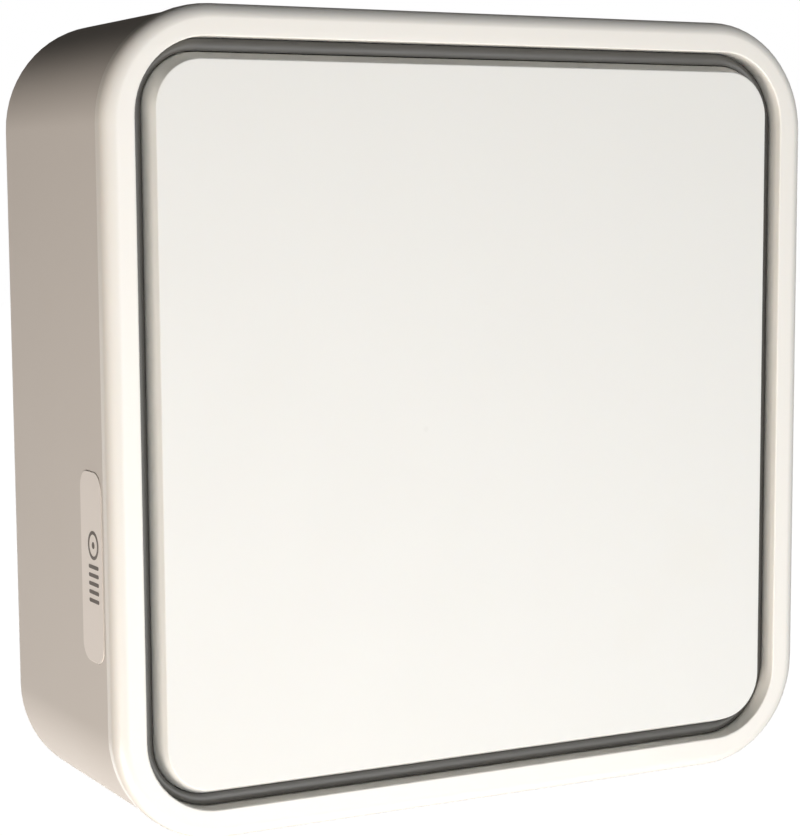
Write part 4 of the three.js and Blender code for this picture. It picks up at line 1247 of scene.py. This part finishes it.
class MakeBracket(bpy.types.Operator):
    """Bracket: the plate on the wall, its four shouldered studs and the catch's rivet"""
    bl_idname = "access_point.bracket"
    bl_label = "Bracket"

    EDGE = 0.25 * MM
    CORNER = 12 * MM
    TONGUE = 10 * MM
    FILLET = 2 * MM
    TIP = 4 * MM
    STUD_HEAD = 4.2 * MM
    STUD_SHANK = 2.2 * MM
    STUD_COLLAR = 3.6 * MM
    COLLAR_THICKNESS = 0.8 * MM
    WINDOW_WIDTH = 60 * MM
    # Height and place up of each window
    WINDOWS = ((36, -38), (24, 32))
    SLOT_WIDTH = 4.6 * MM
    SLOT_LENGTH = 14 * MM
    SLOTS_X = 32 * MM
    BOLTS_Z = 18 * MM
    BOLT_HOLE = 2.2 * MM
    STUD_HOLE = 2.3 * MM
    RIVET_HOLE = 1.7 * MM
    RIVET_Z = 55 * MM

    def execute(self, context):
        mesh = plate(
            "bracket", self.outline(), self.holes(), BRACKET_LOW.y, BRACKET_HIGH.y, self.EDGE)
        thing = finished(mesh, "bracket_plate")
        settle(thing, "zinc_steel", "bracket", "mounting_bracket")
        low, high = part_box("bracket_stud_1")
        head = self.STUD_HEAD
        shank = self.STUD_SHANK
        seat = BRACKET_LOW.y - 0.3 * MM
        collar = seat - self.COLLAR_THICKNESS
        profile = [
            (head - 0.9 * MM, low.y), (head - 0.35 * MM, low.y + 0.2 * MM), (head, low.y + 0.7 * MM),
            (head, low.y + 1.4 * MM), (head - 0.2 * MM, low.y + 1.6 * MM), (shank, low.y + 1.6 * MM),
            (shank, collar), (self.STUD_COLLAR, collar), (self.STUD_COLLAR, seat), (shank, seat),
            (shank, high.y - 0.2 * MM), (shank - 0.2 * MM, high.y)]
        studs = finished(turned(profile, (0, 0), 40), "bracket_studs")
        grow(studs, "Copies on a rectangle", "zinc_steel", {
            "Width": 2 * STUDS_X, "Height": 2 * STUDS_Z, "Centre": (0, 0, 0), "Spin": (0, 0, 0)})
        settle(studs, "zinc_steel", "bracket", *numbered("bracket_stud"))
        low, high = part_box("catch_rivet")
        profile = [
            (0.8 * MM, low.y), (1.9 * MM, low.y + 0.15 * MM), (2.7 * MM, low.y + 0.55 * MM),
            (3 * MM, low.y + 1.0 * MM), (3 * MM, low.y + 1.2 * MM), (1.6 * MM, low.y + 1.2 * MM),
            (1.6 * MM, high.y)]
        rivet = finished(turned(profile, axis_of("catch_rivet"), 32), "rivet_skin")
        settle(rivet, "zinc_steel", "bracket", "catch_rivet")
        return {"FINISHED"}

    def outline(self):
        """A rounded square with a tongue on its upper side."""
        half = BRACKET_HIGH.x - self.EDGE
        radius = self.CORNER - self.EDGE
        side = self.TONGUE - self.EDGE
        top = BRACKET_HIGH.z - self.EDGE
        tip = self.TIP
        inner = self.FILLET
        return [
            *arc((half - radius, -half + radius), radius, -90, 0, 10),
            *arc((half - radius, half - radius), radius, 0, 90, 10),
            *arc((side + inner, half + inner), inner, 270, 180, 5),
            *arc((side - tip, top - tip), tip, 0, 90, 7),
            *arc((-side + tip, top - tip), tip, 90, 180, 7),
            *arc((-side - inner, half + inner), inner, 0, -90, 5),
            *arc((-half + radius, half - radius), radius, 90, 180, 10),
            *arc((-half + radius, -half + radius), radius, 180, 270, 10)]

    def holes(self):
        grow_by = 2 * self.EDGE
        width = self.WINDOW_WIDTH + grow_by
        windows = [
            rounded_loop(width, height * MM + grow_by, 6 * MM + self.EDGE, 0, (0, z * MM), 8)
            for height, z in self.WINDOWS]
        end = self.SLOT_WIDTH / 2 - SHARP + self.EDGE
        slots = [
            rounded_loop(self.SLOT_WIDTH + grow_by, self.SLOT_LENGTH + grow_by, end, 0, (x, 0), 8)
            for x in (-self.SLOTS_X, self.SLOTS_X)]
        bolts = [
            round_loop(self.BOLT_HOLE + self.EDGE, 0, (across * STUDS_X, up * self.BOLTS_Z))
            for across, up in CORNERS]
        studs = [
            round_loop(self.STUD_HOLE + self.EDGE, 0, (across * STUDS_X, up * STUDS_Z))
            for across, up in CORNERS]
        rivet = round_loop(self.RIVET_HOLE + self.EDGE, 0, (0, self.RIVET_Z))
        return [*windows, *slots, *bolts, *studs, rivet]


def smooth_line(points, steps=5):
    """A Catmull-Rom line through these points."""
    line = []
    for i in range(len(points) - 1):
        before = points[max(i - 1, 0)]
        start = points[i]
        end = points[i + 1]
        after = points[min(i + 2, len(points) - 1)]
        for step in range(steps):
            t = step / steps
            line.append(0.5 * (
                2 * start + (end - before) * t + (2 * before - 5 * start + 4 * end - after) * t ** 2
                + (3 * start - before - 3 * end + after) * t ** 3))
    line.append(points[-1])
    return line


class MakeCatch(bpy.types.Operator):
    """Catch: a leaf of spring steel whose nose drops into the back plate's slot"""
    bl_idname = "access_point.catch"
    bl_label = "Catch spring"

    THICKNESS = 0.6 * MM
    HOLE = 1.8 * MM
    # Depth and height of the points that the leaf's middle line passes
    LINE = ((-2.6, 49), (-2.6, 54), (-2.6, 59.5), (-4.6, 63), (-7.4, 67.2), (-10.15, 69), (-10.15, 70.2),
            (-7.4, 72), (-5.6, 76.5))

    def execute(self, context):
        low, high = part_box("catch_spring")
        half_width = (high.x - low.x) / 2
        line = smooth_line([Vector((0, y * MM, z * MM)) for y, z in self.LINE], 6)
        loops = []
        for i, point in enumerate(line):
            along = (line[min(i + 1, len(line) - 1)] - line[max(i - 1, 0)]).normalized()
            out = Vector((0, along.z, -along.y)) * self.THICKNESS / 2
            share = i / (len(line) - 1)
            half = half_width * (1 - 0.35 * max(0.0, share - 0.8) / 0.2)
            edge = Vector((half, 0, 0))
            rim = Vector((0.15 * MM, 0, 0))
            loops.append([
                point - edge + out * 0.4, point - edge + rim + out, point + edge - rim + out,
                point + edge + out * 0.4, point + edge - out * 0.4, point + edge - rim - out,
                point - edge + rim - out, point - edge - out * 0.4])
        spring = finished(capped(loops), "catch_spring_leaf", weighted=False)
        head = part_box("catch_rivet")[0].y
        carve(spring, turned([(self.HOLE, head - PAST), (self.HOLE, 0)], axis_of("catch_rivet"), 32))
        even_normals(spring)
        settle(spring, "spring_steel", "bracket", "catch_spring")
        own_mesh(spring)
        return {"FINISHED"}


# ---------------------------------------------------------------- jacks and reset button

class MakeJacks(bpy.types.Operator):
    """Jacks: tinned cases with black liners and eight gold-coloured contacts each"""
    bl_idname = "access_point.jacks"
    bl_label = "Network jacks"

    CONTACTS = 8
    PITCH = 1.02 * MM
    LINER_HALF = 5.75 * MM
    LINER_WALL = 0.5 * MM

    def execute(self, context):
        for i in (1, 2):
            node = f"ethernet_jack_{i}"
            settle(softened(node, 0.25 * MM), "tinned_steel", "unit", node)
            low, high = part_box(node)
            x = (low.x + high.x) / 2
            y = (low.y + high.y) / 2
            liner = self.liner(x, y, low.z)
            liner.name = f"jack_liner_{i}"
            settle(liner, "chip_black", "unit")
            contact = self.contact()
            contact.name = f"jack_contacts_{i}"
            start = x - self.PITCH * (self.CONTACTS - 1) / 2
            grow(contact, "Copies in a row", "brass", {
                "Count": self.CONTACTS, "Start": (start, y, low.z), "Step": (self.PITCH, 0, 0)})
            settle(contact, "brass", "unit")
        return {"FINISHED"}

    def liner(self, x, y, z):
        """A thin cup inside the case's cavity, open downwards."""
        depth = 13.6 * MM
        high = 6.5 * MM
        outer = 2 * self.LINER_HALF
        inner = outer - 2 * self.LINER_WALL
        rows = [
            (outer, high, 0.2 * MM, depth), (outer, high, 0.2 * MM, 0.4 * MM),
            (inner, high - 2 * self.LINER_WALL, 0.3 * MM, 0.4 * MM),
            (inner, high - 2 * self.LINER_WALL, 0.3 * MM, depth - self.LINER_WALL)]
        loops = []
        for width, height, radius, up in rows:
            flat = rounded_loop(width, height, radius, 0, steps=4)
            loops.append([Vector((x + point.x, y + point.z, z + up)) for point in flat])
        return finished(capped(loops), "jack_liner")

    def contact(self):
        """One bent wire, from the liner's inner end down and towards the middle of the opening."""
        route = ((2.4, 12.6), (2.4, 10.5), (2.2, 9.6), (-0.2, 3.2), (-0.1, 2.5), (0.5, 2.2))
        line = smooth_line([Vector((0, y * MM, z * MM)) for y, z in route], 3)
        loops = []
        for i, point in enumerate(line):
            along = (line[min(i + 1, len(line) - 1)] - line[max(i - 1, 0)]).normalized()
            out = Vector((0, along.z, -along.y)) * 0.13 * MM
            side = Vector((0.22 * MM, 0, 0))
            loops.append([point - side + out, point + side + out, point + side - out, point - side - out])
        return finished(capped(loops), "jack_contact", weighted=False)


class MakeReset(bpy.types.Operator):
    """Reset: a small sprung button in the bay's wall and the switch that it presses"""
    bl_idname = "access_point.reset"
    bl_label = "Reset button and switch"

    TIP = 1.6 * MM
    COLLAR = 2.5 * MM

    def execute(self, context):
        low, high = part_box("reset_button")
        middle = (low + high) / 2
        collar = low.z + 3.2 * MM
        profile = [
            (0.6 * MM, low.z), (1.15 * MM, low.z + 0.12 * MM), (1.48 * MM, low.z + 0.38 * MM),
            (self.TIP, low.z + 0.8 * MM), (self.TIP, collar), (self.COLLAR - 0.15 * MM, collar),
            (self.COLLAR, collar + 0.15 * MM), (self.COLLAR, high.z - 0.15 * MM),
            (self.COLLAR - 0.15 * MM, high.z)]
        loops = []
        for radius, up in profile:
            flat = round_loop(radius, 0)
            loops.append([Vector((middle.x + point.x, middle.y + point.z, up)) for point in flat])
        button = finished(capped(loops), "reset_button_skin")
        settle(button, "button_grey", "reset_button", "reset_button")
        settle(softened("reset_switch", 0.25 * MM), "tinned_steel", "unit", "reset_switch")
        return {"FINISHED"}


# ---------------------------------------------------------------- board and what it carries

class MakeBoard(bpy.types.Operator):
    """Main board: the board, its chips and its strewn small parts"""
    bl_idname = "access_point.board"
    bl_label = "Main board"

    SCATTERS = (
        ("small_parts_top", 0, 68, 116, 12, 3, 5), ("small_parts_right", 56, 46, 36, 26, 3, 8),
        ("small_parts_left", -65, 16, 16, 56, 3, 11), ("small_parts_low", -38, -10, 22, 12, 3, 14))

    def execute(self, context):
        low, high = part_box("main_board")
        edge = 0.08 * MM
        middle = (low.z + high.z) / 2
        outline = rounded_loop(
            high.x - low.x - 2 * edge, high.z - low.z - 2 * edge, 3 * MM - edge, 0, (0, middle), 8)
        holes = [
            round_loop(1.6 * MM + edge, 0, (x * MM, z * MM), 24) for x, z in MakeBackPlate.POSTS]
        board = finished(plate("board", outline, holes, low.y, high.y, edge), "board_skin")
        settle(board, "board_green", "unit", "main_board")
        for name in ("processor", "memory_chip", "power_controller", "radio_chip_1", "radio_chip_2"):
            settle(softened(name, 0.12 * MM), "chip_black", "unit", name)
        settle(softened("ethernet_magnetics", 0.5 * MM), "chip_black", "unit", "ethernet_magnetics")
        settle(softened("power_inductor", 0.3 * MM), "chip_black", "unit", "power_inductor")
        for name in numbered("capacitor", 2):
            self.capacitor(name)
        for name, x, z, width, height, spacing, seed in self.SCATTERS:
            part = self.small_part()
            part.name = name
            grow(part, "Small parts on a board", "ceramic", {
                "Width": width * MM, "Height": height * MM, "Centre": (x * MM, high.y + 0.05 * MM, z * MM),
                "Spacing": spacing * MM, "Seed": seed})
            settle(part, "chip_black", "unit")
        return {"FINISHED"}

    def capacitor(self, name):
        """An aluminium can with a crimped neck and a rounded top."""
        low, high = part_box(name)
        radius = (high.x - low.x) / 2
        top = high.y
        profile = [(radius * 0.93, low.y), (radius, low.y + 0.2 * MM), (radius, low.y + 1.2 * MM)]
        for step in range(7):
            angle = math.radians(30 * step)
            profile.append((radius - 0.4 * MM * math.sin(angle), low.y + (1.4 + 0.15 * step) * MM))
        profile += [
            (radius, top - 0.6 * MM), (radius - 0.18 * MM, top - 0.18 * MM), (radius - 0.6 * MM, top),
            (radius - 0.9 * MM, top - 0.15 * MM)]
        settle(finished(turned(profile, axis_of(name), 36), name + "_can"), "aluminium", "unit", name)

    def small_part(self):
        """A chip part: a body between two end caps that stand slightly proud of it."""
        body = box_mesh((-0.5 * MM, 0, -0.38 * MM), (0.5 * MM, 0.5 * MM, 0.38 * MM))
        for side in (-1, 1):
            ends = sorted((side * 0.5 * MM, side * 0.8 * MM))
            box_mesh((ends[0], 0, -0.4 * MM), (ends[1], 0.53 * MM, 0.4 * MM), into=body)
        return finished(body, "small_part", weighted=False)


class MakeHeatSink(bpy.types.Operator):
    """Heat sink: thin fins on a base, over a soft heat pad"""
    bl_idname = "access_point.heat_sink"
    bl_label = "Heat sink"

    FINS = 11
    FIN = 1.6 * MM
    BASE = 3 * MM

    def execute(self, context):
        low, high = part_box("heat_sink")
        edge = 0.2 * MM
        fin = bmesh.new()
        root = low.y + self.BASE - 0.3 * MM
        box_mesh(
            (-self.FIN / 2, root, low.z + 0.1 * MM), (self.FIN / 2, high.y, high.z - 0.1 * MM), into=fin)
        blade = finished(fin, "heat_sink_fins", bevel=edge)
        step = (high.x - low.x - self.FIN) / (self.FINS - 1)
        grow(blade, "Copies in a row", "aluminium", {
            "Count": self.FINS, "Start": (low.x + self.FIN / 2, 0, 0), "Step": (step, 0, 0)})
        settle(blade, "aluminium", "unit")
        foot = box_mesh((low.x, low.y, low.z), (high.x, low.y + self.BASE, high.z), 0.8 * MM)
        base = finished(foot, "heat_sink_base", bevel=edge)
        settle(base, "aluminium", "unit", "heat_sink")
        settle(softened("thermal_pad", 0.15 * MM), "thermal_pad", "unit", "thermal_pad")
        return {"FINISHED"}


# ---------------------------------------------------------------- radios, aerials and lights

class MakeRadios(bpy.types.Operator):
    """Radios: shield cans, reflector, aerials on their carrier and the leads between them"""
    bl_idname = "access_point.radios"
    bl_label = "Radios and aerials"

    LEAD_RADIUS = 0.62 * MM
    # Places across and up of the carrier's holes, depth of the run over the cans, and the leads' ends
    HOLE = 34
    OVER_CANS = -41
    ENDS = ((-62, 24), (62, 24), (-40, -24), (40, -24))
    SIDES = ((-1, 1), (1, 1), (-1, -1), (1, -1))

    def execute(self, context):
        for name in numbered("shield_can", 2):
            settle(softened(name, 0.2 * MM), "tinned_steel", "unit", name)
        settle(softened("reflector_plate", 0.2 * MM), "aluminium", "unit", "reflector_plate")
        settle(softened("antenna_carrier", 0.25 * MM), "carrier_plastic", "unit", "antenna_carrier")
        for i, (side, end) in enumerate(zip(self.SIDES, self.ENDS), 1):
            settle(softened(f"antenna_{i}", 0.1 * MM), "brass", "unit", f"antenna_{i}")
            self.lead(i, side, end)
            self.connector(i)
        return {"FINISHED"}

    def lead(self, number, side, end):
        across, up = side
        x = across * self.HOLE
        z = up * self.HOLE
        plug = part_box(f"lead_connector_{number}")[0].y / MM
        route = (
            (across * 38, -57.3, up * 41.2), (across * 35.5, -57.5, up * 37), (x, -54.5, z), (x, -45.5, z),
            ((2 * x + end[0]) / 3, self.OVER_CANS, (2 * z + end[1]) / 3),
            ((x + 3 * end[0]) / 4, self.OVER_CANS, (z + 3 * end[1]) / 4),
            (end[0], self.OVER_CANS + 2, end[1]), (end[0], plug - 0.3, end[1]))
        line = smooth_line([Vector(point) * MM for point in route], 8)
        mesh = bmesh.new()
        points = [mesh.verts.new(point) for point in line]
        for first, second in zip(points, points[1:]):
            mesh.edges.new((first, second))
        data = bpy.data.meshes.new("lead")
        mesh.to_mesh(data)
        mesh.free()
        lead = bpy.data.objects.new(f"aerial_lead_{number}", data)
        bpy.context.scene.collection.objects.link(lead)
        grow(lead, "Lead on its route", "lead_black", {"Radius": self.LEAD_RADIUS})
        settle(lead, "lead_black", "unit", f"antenna_lead_{number}")

    def connector(self, number):
        """A press-on coaxial plug: a crimped ring with a domed cap."""
        name = f"lead_connector_{number}"
        low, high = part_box(name)
        radius = (high.x - low.x) / 2
        profile = [
            (radius * 0.5, low.y), (radius * 0.82, low.y + 0.12 * MM), (radius * 0.9, low.y + 0.5 * MM),
            (radius * 0.9, low.y + 1.2 * MM), (radius, low.y + 1.35 * MM), (radius, high.y - 0.15 * MM),
            (radius * 0.9, high.y)]
        settle(finished(turned(profile, axis_of(name), 24), name + "_cap"), "brass", "unit", name)


class MakeLights(bpy.types.Operator):
    """Lights: the white light board behind the groove and its four lenses"""
    bl_idname = "access_point.lights"
    bl_label = "Light board"

    CORNER = 0.5 * MM
    DOME = 0.9 * MM
    DOME_STEPS = 6

    def execute(self, context):
        settle(softened("light_board", 0.1 * MM), "board_white", "unit", "light_board")
        for i, name in enumerate(numbered("led"), 1):
            low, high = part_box(name)
            width = high.x - low.x
            centre = axis_of(name)
            base = low.y + self.DOME
            loops = [rounded_loop(width, width, self.CORNER, y, centre, 5) for y in (high.y, base)]
            for step in range(1, self.DOME_STEPS + 1):
                angle = math.radians(90 * step / self.DOME_STEPS)
                size = width * (0.35 + 0.65 * math.cos(angle))
                corner = self.CORNER + (size / 2 - self.CORNER - SHARP) * math.sin(angle)
                rise = low.y + self.DOME * (1 - math.sin(angle))
                loops.append(rounded_loop(size, size, corner, rise, centre, 5))
            lens = finished(capped(loops), f"led_lens_{i}")
            settle(lens, "led_lens", "unit", name)
        return {"FINISHED"}


# ---------------------------------------------------------------- studio

WHITE_LIGHT = (1.0, 1.0, 1.0)
WARM_LIGHT = (1.0, 0.9, 0.81)
GROUND_LIGHT = (1.0, 0.92, 0.84, 1)


class MakeStudio(bpy.types.Operator):
    """Studio: a pale floor well below, soft lamps and the camera"""
    bl_idname = "access_point.studio"
    bl_label = "Studio"

    FLOOR_BELOW = 1.3
    FLOOR_SIZE = 60.0
    CAMERA_AT = Vector((-0.2812, -0.5603, 0.0539))
    # Each lamp's name, power setting, share of that power, size, place and tint
    LAMPS = (
        ("key_lamp", "key_power", 1, 0.9, (0.5, -1.5, -0.24), WHITE_LIGHT),
        ("fill_lamp", "fill_power", 1, 0.6, (-0.9, -0.6, -0.75), WARM_LIGHT),
        ("low_lamp", "low_power", 1, 0.5, (0.0, -0.3, -0.5), WHITE_LIGHT),
        ("back_lamp_left", "back_power", 1, 1.0, (-0.2, 1.7, -0.5), WHITE_LIGHT),
        ("back_lamp_right", "back_power", 0.6, 1.0, (0.9, 1.4, -0.4), WHITE_LIGHT),
    )

    def execute(self, context):
        studio = context.scene.access_point_studio
        self.camera(context, studio)
        self.floor()
        self.world(context)
        for name, setting, share, size, place, tint in self.LAMPS:
            self.lamp(name, getattr(studio, setting) * share, size, place, tint)
        context.scene.view_settings.view_transform = "Standard"
        context.scene.view_settings.look = "None"
        return {"FINISHED"}

    def camera(self, context, studio):
        yaw = math.radians(studio.yaw)
        pitch = math.radians(studio.pitch)
        roll = math.radians(studio.roll)
        forward = Vector((
            math.sin(yaw) * math.cos(pitch), math.cos(yaw) * math.cos(pitch), -math.sin(pitch)))
        level = Vector((math.cos(yaw), -math.sin(yaw), 0))
        above = level.cross(forward)
        right = level * math.cos(roll) + above * math.sin(roll)
        up = above * math.cos(roll) - level * math.sin(roll)
        lens = bpy.data.cameras.new("camera")
        lens.lens = studio.focal_length
        lens.shift_y = studio.rise
        lens.clip_start = 0.01
        lens.clip_end = 200
        camera = bpy.data.objects.new("camera", lens)
        camera.matrix_world = Matrix((
            (right.x, up.x, -forward.x, self.CAMERA_AT.x),
            (right.y, up.y, -forward.y, self.CAMERA_AT.y),
            (right.z, up.z, -forward.z, self.CAMERA_AT.z),
            (0, 0, 0, 1)))
        context.scene.collection.objects.link(camera)
        context.scene.camera = camera

    def floor(self):
        half = self.FLOOR_SIZE / 2
        z = CAD_BOUNDS[0].z - self.FLOOR_BELOW
        mesh = bmesh.new()
        corners = ((-half, -half), (half, -half), (half, half), (-half, half))
        mesh.faces.new([mesh.verts.new((x, y, z)) for x, y in corners])
        data = bpy.data.meshes.new("floor")
        mesh.to_mesh(data)
        mesh.free()
        floor = bpy.data.objects.new("floor", data)
        bpy.context.scene.collection.objects.link(floor)
        material, graph, surface = new_material("Floor paint", (0.95, 0.95, 0.95))
        surface.inputs["Base Color"].default_value = (0.5, 0.5, 0.5, 1)
        surface.inputs["Roughness"].default_value = 0.9
        looked = graph.add("ShaderNodeLightPath").outputs["Is Camera Ray"]
        graph.feed(surface.inputs["Emission Strength"], looked)
        surface.inputs["Emission Color"].default_value = (1, 1, 1, 1)
        floor.data.materials.append(material)

    def world(self, context):
        """White to look at, and a soft gradient to light with: dim above and bright below."""
        world = bpy.data.worlds.new("studio")
        world.use_nodes = True
        graph = Graph(world.node_tree)
        way = graph.add("ShaderNodeTexCoord").outputs["Generated"]
        parts = graph.add("ShaderNodeSeparateXYZ", {0: way})
        rising = graph.ramp(parts.outputs[2], -0.6, 0.2, 0.5, 0.05)
        soft = graph.add("ShaderNodeBackground", {"Color": GROUND_LIGHT, "Strength": rising})
        seen = graph.add("ShaderNodeBackground", {"Color": (1, 1, 1, 1), "Strength": 1.0})
        looked = graph.add("ShaderNodeLightPath").outputs["Is Camera Ray"]
        both = graph.add("ShaderNodeMixShader", {0: looked, 1: soft.outputs[0], 2: seen.outputs[0]})
        graph.add("ShaderNodeOutputWorld", {"Surface": both.outputs[0]})
        context.scene.world = world

    def lamp(self, name, power, size, place, tint):
        light = bpy.data.lights.new(name, "AREA")
        light.energy = power
        light.size = size
        light.color = tint
        lamp = bpy.data.objects.new(name, light)
        lamp.location = place
        lamp.rotation_euler = (UNIT_CENTRE - Vector(place)).to_track_quat("-Z", "Y").to_euler()
        lamp.visible_camera = False
        bpy.context.scene.collection.objects.link(lamp)


# ---------------------------------------------------------------- add-on

OPERATORS = (
    MakeStudio, MakeBezel, MakePanel, MakeLightRing, MakeShell, MakePlaque, MakeBackPlate, MakeScrews,
    MakeBracket, MakeCatch, MakeJacks, MakeReset, MakeBoard, MakeHeatSink, MakeRadios, MakeLights,
)
SETTINGS = (
    ("access_point_shape", AccessPointShape),
    ("access_point_finish", AccessPointFinish),
    ("access_point_studio", AccessPointStudio),
)


class AccessPointPanel(bpy.types.Panel):
    """Lists the settings and the pieces of the access point"""
    bl_idname = "VIEW3D_PT_access_point"
    bl_label = "Square Access Point"
    bl_space_type = "VIEW_3D"
    bl_region_type = "UI"
    bl_category = "Access Point"

    def draw(self, context):
        layout = self.layout
        for operator in OPERATORS:
            layout.operator(operator.bl_idname)
        for name, group in SETTINGS:
            box = layout.box()
            settings = getattr(context.scene, name)
            for prop in group.__annotations__:
                box.prop(settings, prop)


def register():
    for name, group in SETTINGS:
        bpy.utils.register_class(group)
        setattr(bpy.types.Scene, name, PointerProperty(type=group))
    for operator in OPERATORS:
        bpy.utils.register_class(operator)
    bpy.utils.register_class(AccessPointPanel)


def unregister():
    bpy.utils.unregister_class(AccessPointPanel)
    for operator in reversed(OPERATORS):
        bpy.utils.unregister_class(operator)
    for name, group in reversed(SETTINGS):
        delattr(bpy.types.Scene, name)
        bpy.utils.unregister_class(group)


def main():
    register()
    for operator in OPERATORS:
        family, name = operator.bl_idname.split(".")
        getattr(getattr(bpy.ops, family), name)()


if __name__ == "__main__":
    main()
